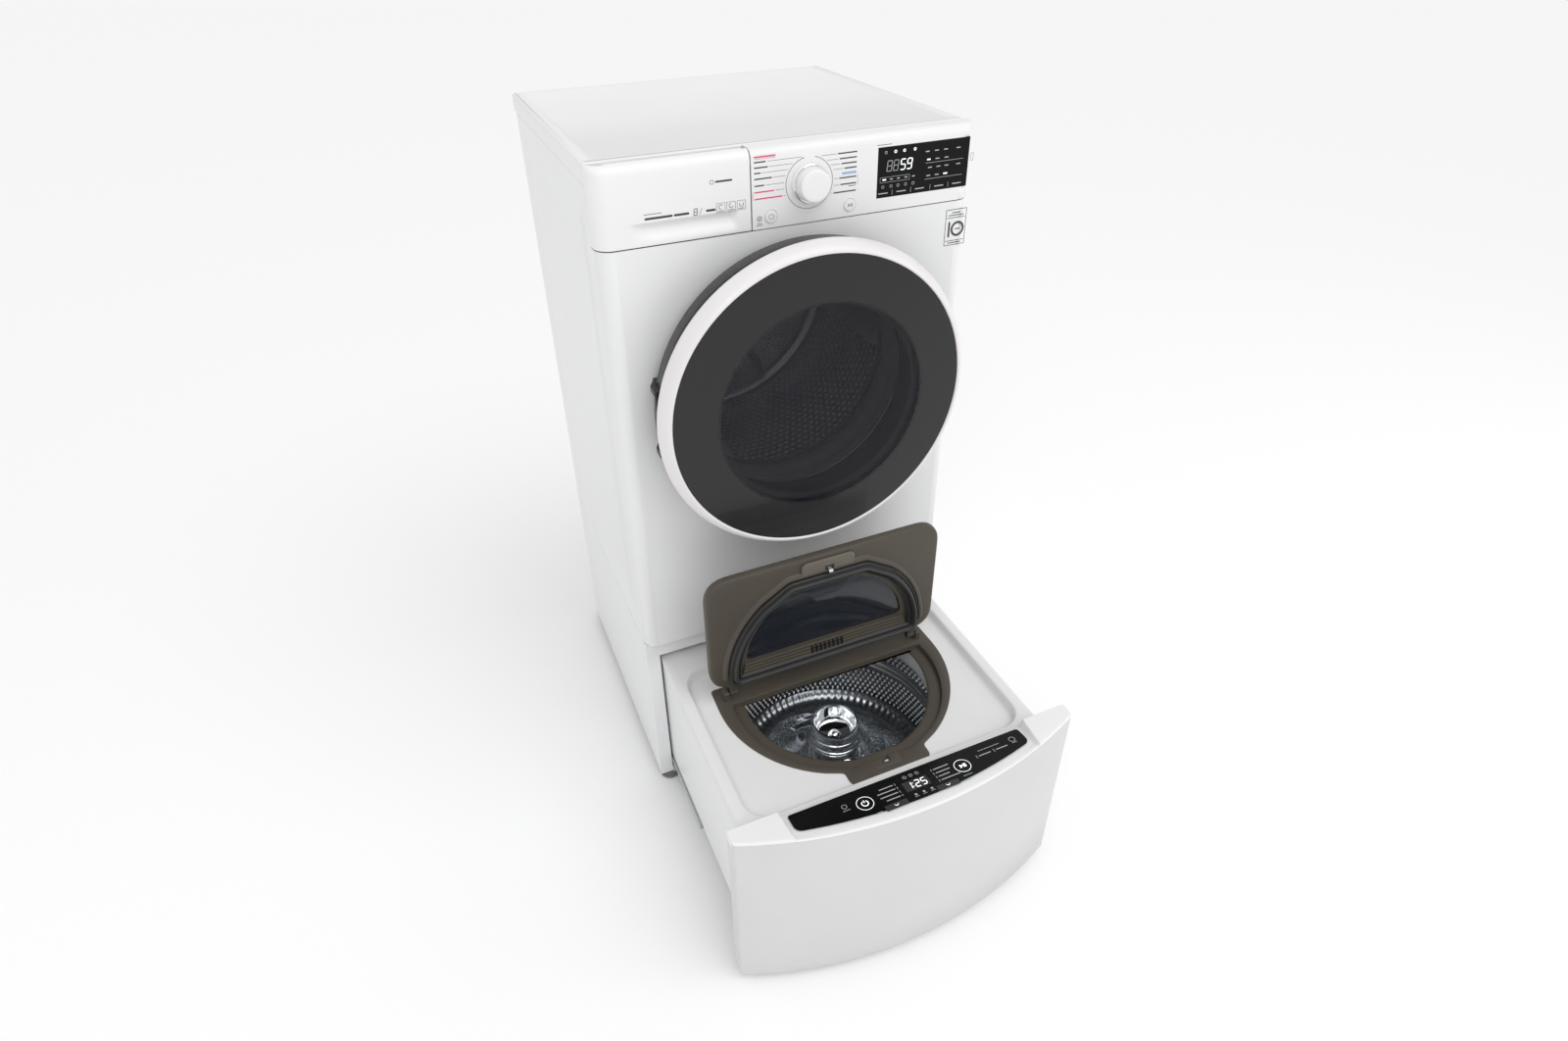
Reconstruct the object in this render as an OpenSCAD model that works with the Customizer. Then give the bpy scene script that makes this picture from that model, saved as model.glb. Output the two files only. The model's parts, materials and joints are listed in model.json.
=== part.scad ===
// Front-loading washer dryer standing on a pull-out pedestal washer.
// Millimetres. X to the right, Y to the back, Z up, floor at Z = 0,
// origin in the middle of the footprint with the drawer pulled out.

/* [Cabinet] */
// Width of the washer and of the pedestal under it
stack_w = 600; // [596:1:604]
// Height of the washer without the pedestal
washer_h = 850; // [848:1:860]
// Depth of the washer from front panel to rear panel
washer_d = 549; // [545:1:560]
// How far the worktop reaches back past the rear panel
top_overhang = 24; // [22:1:30]
// Thickness of the worktop
top_t = 29; // [26:1:32]
// Height of the control band over the front panel
fascia_h = 113; // [112:1:114]
// Radius of the two upright front corners
corner_r = 25; // [20:1:28]
// How far the front parts wrap round the sides and the top
wrap = 34; // [32:1:36]
// Thickness of the sheet panels
sheet = 2; // [1.5:0.5:2.5]

/* [Door] */
// Height of the door's middle above the foot of the washer
door_up = 477.6; // [474:0.2:480]
// Outer radius of the white trim ring
ring_r = 259; // [257:1:260]
// Radius of the black outer glass
glass_r = 242; // [240:1:243]
// How far the trim ring stands in front of the front panel
door_proud = 93; // [90:1:96]
// Extra height of the domed outer glass
glass_dome = 8; // [4:1:10]
// Radius of the port in the front panel
port_r = 192; // [190:1:194]

/* [Drum] */
// Outer radius of the wash drum
drum_r = 240; // [236:1:242]
// Depth of the wash drum
drum_d = 342; // [330:1:345]
// Wall thickness of both drums
drum_t = 1.2; // [1:0.1:1.5]

/* [Pedestal] */
// Height of the pedestal
pedestal_h = 365; // [363:1:368]
// Width of each front post
post_w = 24; // [23:1:24]
// Height of the rail over the drawer
rail_h = 30; // [28:1:31]
// Height of the levelling feet
foot_h = 15; // [14:1:16]

/* [Drawer] */
// How far the drawer stands out
drawer_out = 408; // [400:1:410]
// Depth of the drawer front at its ends
front_end_t = 25; // [24:1:26]
// How much the drawer front bows out in its middle
front_bow = 60; // [56:1:62]
// Width of the drawer body
drawer_w = 544; // [542:1:544]
// Height of the tray's rim above the floor
rim_z = 322; // [321:1:323]
// Depth of the dish in the tray
dish_d = 16; // [14:1:17]

/* [Drawer washer] */
// Distance of the drum's axis behind the drawer front's back
mini_back = 243; // [242:1:244]
// Outer radius of the small drum
mini_drum_r = 196; // [194:1:197]
// Outer radius of the small tub
mini_tub_r = 212; // [211:1:213]
// Radius of the mouth in the collar
mouth_r = 168; // [166:1:169]
// Height of the small drum's bottom above the floor
mini_floor = 66; // [64:1:68]
// Height of the top of the cup in its middle
cup_z = 214; // [210:1:216]
// Height of the cone under that cup
cone_z = 172; // [168:1:176]

/* [Lid] */
// Width of the lid
lid_w = 442; // [438:1:446]
// Height of the lid when it stands open
lid_h = 241; // [239:1:242]
// Thickness of the lid
lid_t = 18; // [17:1:18]
// Radius of the lid's corners
lid_r = 46; // [40:1:50]

/* [Hidden] */

$fn = 96;
half_w = stack_w / 2;
gap = 1.5;
// Hairline between parts that are bolted or welded face to face
joint = 0.2;

// Depths. front_y is the washer's front panel, and the object's box is centred on Y = 0.
drawer_reach = drawer_out + front_end_t + front_bow;
front_y = (drawer_reach - washer_d - top_overhang) / 2;
back_y = front_y + washer_d;
seam_y = front_y + wrap;

// Heights of the washer
top_z = pedestal_h + washer_h;
fascia_z = top_z - fascia_h;
worktop_z = top_z - top_t;
door_z = pedestal_h + door_up;
base_z = pedestal_h + joint;

// Door, door hinge and door hook
door_hinge_x = -246;
door_hinge_y = front_y - 40;
door_hinge_pin_r = 4;
hinge_half = 58;
door_back_y = front_y - 14;
hook_x = 222;
hook_pin_r = 2;
flange_r = 186;

// Wash group
tub_r = 262;
tub_t = 6;
tub_y = front_y + 60;
tub_back_y = tub_y + 390;
drum_y = front_y + 76;
drum_back_y = drum_y + drum_d;
drum_mouth_r = 190;
shaft_r = 15;
bearing_r = 31;
running_gap = 0.05;

// Controls on the band
detergent_x = -71.5;
dial_x = 19;
dial_z = 1159.5;
dial_r = 28;
power_x = -41.6;
start_x = 85.5;
button_z = 1118.6;
button_r = 9.5;
display_x = [130, 288];
display_z = [1122, 1196];

// Filter flap
flap_x = [160, 272];
flap_z = [394, 470];
flap_gap = 0.8;
flap_drop = 2.2;
flap_pin_y = front_y + 4.6;
flap_pin_z = flap_z[0] + 4;
flap_pin_r = 2;
filter_x = 216;
filter_z = 432;

// Pedestal and slides
bay_x = half_w - post_w;
post_y = front_y + 8;
frame_y = seam_y;
rail_z = [41, 57];
roller_r = 10;
roller_z = 30;
roller_y = front_y + 12;
roller_x = 262;
axle_r = 3;

// Drawer
drawer_y = front_y - drawer_out;
drawer_end_y = drawer_y + 490;
bow_r = (half_w * half_w + front_bow * front_bow) / (2 * front_bow);
bow_y = drawer_y - front_end_t - front_bow + bow_r;
front_z = [14, 359.5];
dish_z = rim_z - dish_d;
strip_half_w = 206;
mini_y = drawer_y + mini_back;

// Collar round the mouth of the drawer washer
collar_top = dish_z + 2;
collar_low = dish_z - 10;
ledge_z = dish_z - 7.5;
nose_z = dish_z - 5.5;
mouth_y = mini_y + 7;
mouth_back = mouth_y + 26;
mouth_front = mouth_y - 162.5;
nose_y = drawer_y + 34;
collar_r = 215;
collar_y = mini_y + 21;
collar_rear_y = front_y - 88;

// Lid, drawn standing open
lid_y = front_y - 121;
lid_pivot_y = lid_y + 5;
lid_pivot_z = dish_z + 14;
lid_low = lid_pivot_z + 15;
lid_pin_r = 3;
gasket_z = 365;
gasket_r = 188;
gasket_h = 16;
handle_z = [541.5, 568.5];
handle_t = 11.8;
latch_pin_r = 2;
gasket_flat = 538;
gasket_y = lid_pivot_y - gasket_z + lid_pivot_z;

// Solid box between two corners
module block(lo, hi) {
    translate(lo)
        cube([hi[0] - lo[0], hi[1] - lo[1], hi[2] - lo[2]]);
}

// The same thing on the left and on the right
module both_sides() {
    children();
    mirror([1, 0, 0])
        children();
}

// Flat outline in X and Z made solid from y0 to y1
module along_y(y0, y1) {
    translate([0, y1, 0])
        rotate([90, 0, 0])
            linear_extrude(y1 - y0)
                children();
}

// Flat outline in Y and Z made solid from x0 to x1
module along_x(x0, x1) {
    translate([x0, 0, 0])
        rotate([90, 0, 90])
            linear_extrude(x1 - x0)
                children();
}

// Outline of [radius, depth] turned round the wash drum's axis
module turned_y(points) {
    translate([0, 0, door_z])
        rotate([-90, 0, 0])
            rotate_extrude()
                polygon(points);
}

// Outline of [radius, height] turned round the small drum's axis
module turned_z(points) {
    translate([0, mini_y, 0])
        rotate_extrude()
            polygon(points);
}

// Rectangle with round corners, in the middle
module round_rect(w, h, r) {
    offset(r = r, $fn = 32)
        square([w - 2 * r, h - 2 * r], center = true);
}

// Disc with a straight cut below and another above
module cut_disc(r, low, high) {
    intersection() {
        circle(r);
        translate([-r, low])
            square([2 * r, high - low]);
    }
}

// ---- Washer cabinet ----

// Plan of the front with its round upright corners, inset by d
module front_plan(d) {
    x = half_w - d;
    y = front_y + d;
    r = corner_r - d;
    difference() {
        translate([-x, y])
            square([2 * x, seam_y - y]);
        for (side = [-1, 1])
            translate([side * (x - r), y + r])
                difference() {
                    translate([side > 0 ? 0 : -r - 1, -r - 1])
                        square([r + 1, r + 1]);
                    circle(r);
                }
    }
}

module base_frame() {
    color("gainsboro") {
        block([-half_w + sheet, seam_y + 1, base_z], [half_w - sheet, back_y - sheet, base_z + 4]);
        for (x = [-200, 0, 200])
            block([x - 12, seam_y + 20, base_z + 4], [x + 12, back_y - 20, base_z + 14]);
    }
}

module side_panels() {
    color("whitesmoke")
        both_sides()
            block([half_w - sheet, seam_y + gap / 2, pedestal_h + 1], [half_w, back_y, worktop_z]);
}

// Holes for the two inlet threads, the drain outlet, the mains gland and the transit bolts
inlet_x = [-210, -150];
inlet_z = 1120;
drain_x = -230;
drain_z = 1050;
gland_x = 220;
transit_x = 150;
transit_z = [640, 1000];
transit_r = 8;

module rear_panel() {
    color("lightgray")
        difference() {
            block([-half_w + sheet, back_y - sheet, base_z], [half_w - sheet, back_y, worktop_z]);
            along_y(back_y - 10, back_y + 10) {
                for (x = inlet_x)
                    translate([x, inlet_z])
                        circle(16);
                translate([drain_x, drain_z])
                    circle(14);
                translate([gland_x, inlet_z])
                    circle(9);
                for (side = [-1, 1], z = transit_z)
                    translate([side * transit_x, z])
                        circle(transit_r);
            }
        }
}

module worktop() {
    top_back = back_y + top_overhang;
    edge = 5;
    mid_y = (seam_y + gap + top_back) / 2;
    color("white")
        difference() {
            union() {
                translate([0, mid_y, worktop_z])
                    linear_extrude(top_t - edge)
                        round_rect(stack_w, top_back - seam_y - gap, 4);
                translate([0, mid_y, top_z - edge])
                    linear_extrude(edge)
                        round_rect(stack_w - 2, top_back - seam_y - gap - 2, 4);
            }
            // shallow field inside the raised rim
            translate([0, mid_y, top_z - 1])
                linear_extrude(2)
                    round_rect(stack_w - 26, top_back - seam_y - gap - 26, 6);
            // hollow underside over the cabinet
            block([-half_w + 25, seam_y + 20, worktop_z - 1], [half_w - 25, back_y - 20, top_z - 8]);
        }
}

module front_panel() {
    color("white") {
        // lugs for the filter flap's pin
        for (x = [flap_x[0] - 5, flap_x[1] + 2])
            difference() {
                block([x, front_y + sheet, flap_pin_z - 4], [x + 3, front_y + 9, flap_pin_z + 4]);
                translate([x - 1, flap_pin_y, flap_pin_z])
                    rotate([0, 90, 0])
                        cylinder(r = flap_pin_r + running_gap, h = 5);
            }
        difference() {
            translate([0, 0, pedestal_h + 1])
                linear_extrude(fascia_z - gap - pedestal_h - 1)
                    difference() {
                        front_plan(0);
                        front_plan(sheet);
                        translate([-half_w + sheet, seam_y - 1])
                            square([stack_w - 2 * sheet, 2]);
                    }
            along_y(front_y - 1, front_y + sheet + 1) {
                translate([0, door_z])
                    circle(port_r);
                translate([flap_x[0] - flap_gap, flap_z[0] - flap_drop])
                    square([flap_x[1] - flap_x[0] + 2 * flap_gap, flap_z[1] - flap_z[0] + flap_gap + flap_drop]);
                // slot for the door hook
                translate([hook_x - 16, door_z - 14])
                    square([24, 28]);
            }
        }
    }
}

// Band over the front panel as a solid, inset by d, from z0 up
module band(d, z0) {
    top_r = 14 - d;
    y0 = front_y + d;
    z1 = top_z - d;
    intersection() {
        translate([0, 0, z0])
            linear_extrude(z1 - z0)
                front_plan(d);
        along_x(-half_w, half_w)
            difference() {
                translate([y0, z0])
                    square([seam_y - y0 + 1, z1 - z0]);
                translate([y0 + top_r, z1 - top_r])
                    difference() {
                        translate([-top_r - 1, 0])
                            square(top_r + 1);
                        circle(top_r);
                    }
            }
    }
}

module band_shell(wall) {
    difference() {
        band(0, fascia_z);
        difference() {
            band(wall, fascia_z - 1);
            block([-half_w, front_y, fascia_z - 2], [half_w, seam_y, fascia_z + wall]);
        }
        block([-half_w + wall, seam_y - 1, fascia_z + wall], [half_w - wall, seam_y + 1, top_z - wall]);
    }
}

module control_panel() {
    wall = 3;
    color("white")
        difference() {
            intersection() {
                band_shell(wall);
                block([detergent_x + gap / 2, front_y - 1, fascia_z - 1], [half_w + 1, seam_y + 1, top_z + 1]);
            }
            along_y(front_y - 1, front_y + wall + 1) {
                translate([dial_x, dial_z])
                    circle(9);
                for (x = [power_x, start_x])
                    translate([x, button_z])
                        circle(button_r + 0.4);
                translate([display_x[0], display_z[0]])
                    square([display_x[1] - display_x[0], display_z[1] - display_z[0]]);
            }
        }
}

module display_window() {
    color([0.05, 0.05, 0.06])
        block([display_x[0], front_y - 0.3, display_z[0]], [display_x[1], front_y + 2.7, display_z[1]]);
}

tray_x = [-285, -82];
tray_z = [1110, 1172];
tray_d = 262;

module dispenser_housing() {
    wall = 2.5;
    room = 1.5;
    lo = [tray_x[0] - room - wall, seam_y + 4, tray_z[0] - room - wall];
    hi = [tray_x[1] + room + wall, front_y + tray_d + 20, tray_z[1] + 8];
    color("silver")
        difference() {
            block(lo, hi);
            block([lo[0] + wall, lo[1] - 1, lo[2] + wall], [hi[0] - wall, hi[1] - wall, hi[2] - wall]);
        }
}

module detergent_drawer_front() {
    wall = 3;
    grip_x = [-224, -95];
    color("white")
        difference() {
            intersection() {
                union() {
                    band_shell(wall);
                    // thick lower bar that holds the grip scoop
                    translate([0, 0, fascia_z + wall])
                        intersection() {
                            linear_extrude(40)
                                front_plan(0);
                            block([-240, front_y, 0], [-80, front_y + 17, 40]);
                        }
                }
                block([-half_w - 1, front_y - 1, fascia_z - 1], [detergent_x - gap / 2, seam_y + 1, top_z + 1]);
            }
            // grip scoop
            translate([grip_x[0], front_y - 14, fascia_z + 6])
                rotate([0, 90, 0])
                    cylinder(r = 28, h = grip_x[1] - grip_x[0]);
        }
}

module detergent_tray() {
    wall = 2.5;
    split_x = -150;
    back = front_y + tray_d;
    front = front_y + 17;
    color("lightsteelblue")
        difference() {
            block([tray_x[0], front, tray_z[0]], [tray_x[1], back, tray_z[1]]);
            // main wash chamber, then prewash and softener chambers
            block([tray_x[0] + wall, front + wall, tray_z[0] + wall], [split_x - wall, back - wall, tray_z[1] + 1]);
            block([split_x, front + wall, tray_z[0] + wall], [tray_x[1] - wall, front + 110, tray_z[1] + 1]);
            block([split_x, front + 110 + wall, tray_z[0] + wall], [tray_x[1] - wall, back - wall, tray_z[1] + 1]);
        }
}

// ---- Controls that move ----

module program_dial() {
    color("whitesmoke")
        translate([dial_x, front_y, dial_z])
            rotate([90, 0, 0]) {
                difference() {
                    union() {
                        translate([0, 0, 0.4])
                            cylinder(r = dial_r, h = 7);
                        translate([0, 0, 7.4])
                            cylinder(r1 = dial_r - 1, r2 = dial_r - 5, h = 17);
                    }
                    // shallow pointer mark at the rim
                    translate([-1, dial_r - 4, 5])
                        cube([2, 8, 3]);
                }
                // spindle through the panel
                translate([0, 0, -14])
                    cylinder(r = 4, h = 14.4);
            }
}

module press_button(x) {
    color("whitesmoke")
        translate([x, front_y, button_z])
            rotate([90, 0, 0]) {
                translate([0, 0, -3])
                    cylinder(r = button_r, h = 4);
                translate([0, 0, -10])
                    cylinder(r = 3, h = 8);
            }
}

module power_button() { press_button(power_x); }

module start_button() { press_button(start_x); }

// ---- Door ----

module door_trim_ring() {
    color("white")
        turned_y([
            [glass_r, front_y - door_proud], [glass_r + 3, front_y - door_proud - 1.5],
            [glass_r + 9, front_y - door_proud + 3], [ring_r - 2, front_y - door_proud + 15],
            [ring_r, front_y - door_proud + 20], [ring_r - 1, front_y - 66],
            [238, front_y - 66], [238, front_y - 70], [glass_r, front_y - 76]
        ]);
}

// Depth of the domed outer glass at radius r
function dome_y(r) = front_y - door_proud - glass_dome * (1 - r * r / (glass_r * glass_r));

module door_outer_glass() {
    steps = 8;
    t = 4;
    radii = [for (i = [0 : steps]) (glass_r - 0.3) * i / steps];
    color([0.12, 0.12, 0.13])
        turned_y(concat(
            [for (r = radii) [r, dome_y(r)]],
            [for (i = [steps : -1 : 0]) [radii[i], dome_y(radii[i]) + t]]
        ));
}

module door_inner_frame() {
    color([0.08, 0.08, 0.09])
        difference() {
            turned_y([
                [232, front_y - 84], [236, front_y - 84], [236, front_y - 65.5], [250, front_y - 65.5],
                [247, door_back_y], [176, door_back_y], [176, door_back_y - 5],
                [232, door_back_y - 5]
            ]);
            // recess for the hinge knuckles
            block([-265, front_y - 52, door_z - 60], [door_hinge_x + 10, door_back_y + 1, door_z + 60]);
            // pocket for the door hook
            block([hook_x - 14, door_back_y - 6, door_z - 12], [hook_x + 6, door_back_y + 1, door_z + 12]);
        }
    color([0.08, 0.08, 0.09]) {
        // inner wall of the hinge recess
        block([door_hinge_x + 10, front_y - 60, door_z - 66], [door_hinge_x + 18, door_back_y - 4.5, door_z + 66]);
        // lugs and pin of the door hook
        for (z = [-13, 10])
            block([hook_x - 10, front_y - 36, door_z + z], [hook_x + 2, door_back_y - 4, door_z + z + 3]);
        translate([hook_x - 4, front_y - 30, door_z - 12])
            cylinder(r = hook_pin_r, h = 24);
    }
    // knuckles that turn on the hinge pin
    color([0.08, 0.08, 0.09])
        for (z = [-33, 33])
            translate([0, 0, door_z + z])
                difference() {
                    union() {
                        translate([door_hinge_x, door_hinge_y, -12])
                            cylinder(r = 8, h = 24);
                        block([door_hinge_x, door_hinge_y - 3, -12], [door_hinge_x + 11, door_hinge_y + 3, 12]);
                    }
                    translate([door_hinge_x, door_hinge_y, -13])
                        cylinder(r = door_hinge_pin_r + running_gap, h = 26);
                }
}

module door_bowl_glass() {
    color([0.3, 0.34, 0.4, 0.5])
        turned_y([
            [flange_r, door_back_y - 11], [flange_r, door_back_y - 5.2], [175, door_back_y - 5.2],
            [172, door_back_y + 4], [151, front_y + 66], [140, front_y + 78], [118, front_y + 84],
            [0, front_y + 88], [0, front_y + 84], [116, front_y + 80], [137, front_y + 74.5],
            [147, front_y + 64], [168, door_back_y + 2], [171, door_back_y - 11]
        ]);
}

module door_hinge() {
    x0 = door_hinge_x - 6;
    ear = 10;
    color([0.15, 0.15, 0.16]) {
        // plate on the front panel with ears that carry the pin
        block([x0 + 6, front_y - 2, door_z - hinge_half], [x0 + 26, front_y, door_z + hinge_half]);
        for (z = [-hinge_half, hinge_half - ear])
            block([x0, door_hinge_y - 6, door_z + z], [x0 + 12, front_y - 1, door_z + z + ear]);
        translate([door_hinge_x, door_hinge_y, door_z - hinge_half + 2])
            cylinder(r = door_hinge_pin_r, h = 2 * hinge_half - 4);
    }
}

module door_hook() {
    color("silver")
        difference() {
            union() {
                translate([hook_x - 4, front_y - 30, door_z - 9])
                    cylinder(r = 5, h = 18);
                block([hook_x - 7, front_y - 30, door_z - 9], [hook_x - 1, front_y + 16, door_z + 9]);
                block([hook_x - 7, front_y + 10, door_z - 9], [hook_x + 3, front_y + 16, door_z + 9]);
            }
            translate([hook_x - 4, front_y - 30, door_z - 10])
                cylinder(r = hook_pin_r + running_gap, h = 20);
        }
}

module door_gasket() {
    color("dimgray")
        turned_y([
            [203, front_y + sheet + 0.2], [203, front_y + 58], [197, front_y + 58], [184, front_y + 50],
            [181, front_y + 42], [194, front_y + 30], [194, front_y + 24], [184, front_y + 12],
            [183, front_y + sheet + 0.2]
        ]);
}

// ---- Wash group ----

module outer_tub() {
    hub_r = bearing_r + 11;
    color("gainsboro")
        turned_y([
            [206, tub_y], [tub_r, tub_y], [tub_r, tub_back_y], [hub_r, tub_back_y],
            [hub_r, tub_back_y + 32], [bearing_r, tub_back_y + 32], [bearing_r, tub_back_y - tub_t],
            [tub_r - tub_t, tub_back_y - tub_t], [tub_r - tub_t, tub_y + tub_t], [206, tub_y + tub_t]
        ]);
}

module drum_bearings() {
    color("silver")
        for (y = [tub_back_y - 4, tub_back_y + 17])
            turned_y([
                [shaft_r + running_gap, y], [bearing_r, y], [bearing_r, y + 14],
                [shaft_r + running_gap, y + 14]
            ]);
}

module wash_drum() {
    t = drum_t;
    color("silver")
        turned_y([
            [drum_mouth_r, drum_y + 4], [drum_mouth_r + 4, drum_y], [drum_r, drum_y],
            [drum_r, drum_back_y], [0, drum_back_y], [0, drum_back_y - t], [drum_r - t, drum_back_y - t],
            [drum_r - t, drum_y + t], [drum_mouth_r + 4.5, drum_y + t], [drum_mouth_r + t, drum_y + 4.5]
        ]);
}

module drum_lifters() {
    inner_r = drum_r - drum_t - 0.2;
    color("lightgray")
        intersection() {
            translate([0, 0, door_z])
                rotate([-90, 0, 0])
                    translate([0, 0, drum_y + 20])
                        cylinder(r = inner_r, h = drum_d - 44);
            for (i = [0 : 2])
                translate([0, 0, door_z])
                    rotate([0, 120 * i + 30, 0])
                        along_y(drum_y + 20, drum_back_y - 24)
                            polygon([[-34, -250], [34, -250], [12, -190], [6, -184], [-6, -184], [-12, -190]]);
        }
}

module drum_shaft() {
    arm_y = drum_back_y;
    color("darkgray") {
        turned_y([[0, arm_y], [34, arm_y], [30, arm_y + 16], [shaft_r, arm_y + 20],
            [shaft_r, tub_back_y + 60], [0, tub_back_y + 60]]);
        for (i = [0 : 2])
            translate([0, 0, door_z])
                rotate([0, 120 * i + 90, 0])
                    along_y(arm_y, arm_y + 12)
                        polygon([[-17, 28], [17, 28], [11, 222], [-11, 222]]);
    }
}

module motor_rotor() {
    y1 = tub_back_y + 60;
    color("slategray")
        turned_y([
            [shaft_r, y1 - 6], [128, y1 - 6], [128, y1 - 34], [134, y1 - 34], [134, y1 - 2],
            [shaft_r, y1 - 2]
        ]);
}

module motor_stator() {
    color("peru")
        difference() {
            turned_y([
                [bearing_r + 11, tub_back_y + 0.2], [60, tub_back_y + 0.2], [64, tub_back_y + 24],
                [124, tub_back_y + 24], [124, tub_back_y + 48], [64, tub_back_y + 48],
                [bearing_r + 11, tub_back_y + 30]
            ]);
            // gaps between the wound poles
            for (i = [0 : 17])
                translate([0, 0, door_z])
                    rotate([0, 20 * i, 0])
                        block([-3, tub_back_y + 23, 80], [3, tub_back_y + 49, 130]);
        }
}

module counterweights() {
    color("darkgray") {
        // upper block resting on the tub
        difference() {
            block([-80, front_y + 290, door_z + 220], [120, front_y + 430, door_z + 300]);
            translate([0, front_y + 280, door_z])
                rotate([-90, 0, 0])
                    cylinder(r = tub_r + 0.5, h = 160);
        }
        // half ring on the front of the tub
        intersection() {
            turned_y([[212, front_y + 14], [tub_r, front_y + 14], [tub_r, tub_y], [212, tub_y]]);
            block([-300, front_y, door_z - 300], [300, tub_y, door_z - 20]);
        }
    }
}

// Close-wound spring as a ribbed rod with an eye at each end
module spring_rod(h, r) {
    coils = floor(h / 4);
    profile = [for (i = [0 : 2 * coils]) [r - (i % 2) * 1.5, i * h / (2 * coils)]];
    rotate_extrude($fn = 32)
        polygon(concat([[0, 0]], profile, [[0, h]]));
}

module suspension_springs() {
    color("dimgray")
        both_sides()
            translate([262, front_y + 330, door_z + 120])
                spring_rod(worktop_z - door_z - 124, 13);
}

module shock_dampers() {
    color("darkslategray")
        both_sides()
            translate([222, front_y + 250, base_z + 19])
                rotate([0, -16, 0]) {
                    cylinder(r = 14, h = 120);
                    translate([0, 0, 120])
                        cylinder(r = 7, h = 130);
                }
}

module drain_pump() {
    color("dimgray") {
        difference() {
            translate([filter_x, front_y + 22, filter_z])
                rotate([-90, 0, 0])
                    cylinder(r = 32, h = 60);
            translate([filter_x, front_y + 21, filter_z])
                rotate([-90, 0, 0])
                    cylinder(r = 26, h = 55);
        }
        translate([filter_x - 28, front_y + 50, filter_z])
            rotate([0, -90, 0])
                cylinder(r = 24, h = 70);
        // outlet spigot
        translate([filter_x - 78, front_y + 50, filter_z + 15])
            cylinder(r = 10, h = 40);
    }
}

module drain_filter_cap() {
    color("whitesmoke")
        translate([filter_x, front_y, filter_z])
            rotate([-90, 0, 0]) {
                translate([0, 0, 12])
                    cylinder(r = 30, h = 9.5);
                translate([0, 0, 21])
                    cylinder(r = 25.9, h = 18);
                translate([-4, -26, 5])
                    cube([8, 52, 8]);
            }
}

module filter_flap() {
    color("white") {
        along_y(front_y, front_y + sheet)
            translate([(flap_x[0] + flap_x[1]) / 2, (flap_z[0] + flap_z[1]) / 2])
                round_rect(flap_x[1] - flap_x[0], flap_z[1] - flap_z[0], 4);
        // hinge pin along the lower edge, on two arms
        translate([flap_x[0] - 4, flap_pin_y, flap_pin_z])
            rotate([0, 90, 0])
                cylinder(r = flap_pin_r, h = flap_x[1] - flap_x[0] + 8);
        for (x = [flap_x[0] + 3, flap_x[1] - 9])
            block([x, front_y + sheet - 0.5, flap_pin_z - 2.5], [x + 6, flap_pin_y + 1, flap_pin_z + 2.5]);
    }
}

module rear_connections() {
    color("whitesmoke") {
        for (x = inlet_x)
            translate([x, back_y - 30, inlet_z])
                rotate([-90, 0, 0])
                    difference() {
                        cylinder(r = 13.2, h = 48);
                        translate([0, 0, 10])
                            cylinder(r = 9, h = 39);
                    }
        block([inlet_x[0] - 16, back_y - 78, inlet_z - 18], [inlet_x[1] + 16, back_y - 30, inlet_z + 18]);
        // drain outlet spigot
        translate([drain_x, back_y - 30, drain_z])
            rotate([-90, 0, 0])
                difference() {
                    cylinder(r = 13, h = 50);
                    translate([0, 0, -1])
                        cylinder(r = 10, h = 52);
                }
        // gland for the mains lead
        translate([gland_x, back_y - 8, inlet_z])
            rotate([-90, 0, 0])
                difference() {
                    union() {
                        cylinder(r = 9, h = 8);
                        translate([0, 0, 8])
                            cylinder(r = 12, h = 5);
                    }
                    translate([0, 0, -1])
                        cylinder(r = 5, h = 20);
                }
    }
}

module drying_duct() {
    z0 = door_z + 268;
    color("silver") {
        difference() {
            union() {
                block([150, front_y + 60, z0], [240, front_y + 440, z0 + 52]);
                translate([195, front_y + 430, z0])
                    cylinder(r = 62, h = 52);
            }
            block([154, front_y + 56, z0 + 4], [236, front_y + 400, z0 + 48]);
        }
    }
}

// ---- Pedestal ----

module pedestal_panels() {
    x = half_w - sheet;
    color("whitesmoke") {
        both_sides()
            block([x, frame_y + gap / 2, foot_h], [half_w, back_y, pedestal_h]);
        block([-x + joint, back_y - sheet, foot_h], [x - joint, back_y, pedestal_h - 4 - joint]);
        block([-x + joint, frame_y + gap, pedestal_h - 4], [x - joint, back_y, pedestal_h]);
    }
}

module pedestal_base() {
    color("gainsboro") {
        block([-half_w + sheet, frame_y + 2, foot_h], [half_w - sheet, back_y - sheet, foot_h + 3]);
        // brackets and axles of the drawer's support rollers
        both_sides() {
            block([271, front_y + 2, foot_h + 3], [bay_x, frame_y + 6, foot_h + 19]);
            translate([roller_x - 7.5, roller_y, roller_z])
                rotate([0, 90, 0])
                    cylinder(r = axle_r, h = 14);
            block([271, frame_y + 2, foot_h + 1], [290, frame_y + 20, foot_h + 19]);
        }
    }
}

module pedestal_front_frame() {
    color("white") {
        both_sides()
            block([bay_x, post_y, foot_h + joint], [half_w, frame_y, pedestal_h - rail_h - joint]);
        block([-half_w, post_y, pedestal_h - rail_h], [half_w, frame_y, pedestal_h]);
    }
}

module levelling_feet() {
    color("gray")
        for (x = [-bay_x - 2, bay_x + 2], y = [post_y + 14, back_y - 40])
            translate([x, y, 0]) {
                cylinder(r = 20, h = 7);
                translate([0, 0, 7])
                    cylinder(r1 = 18, r2 = 8, h = 5);
                translate([0, 0, 12])
                    cylinder(r = 6, h = foot_h - 12);
            }
}

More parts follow.
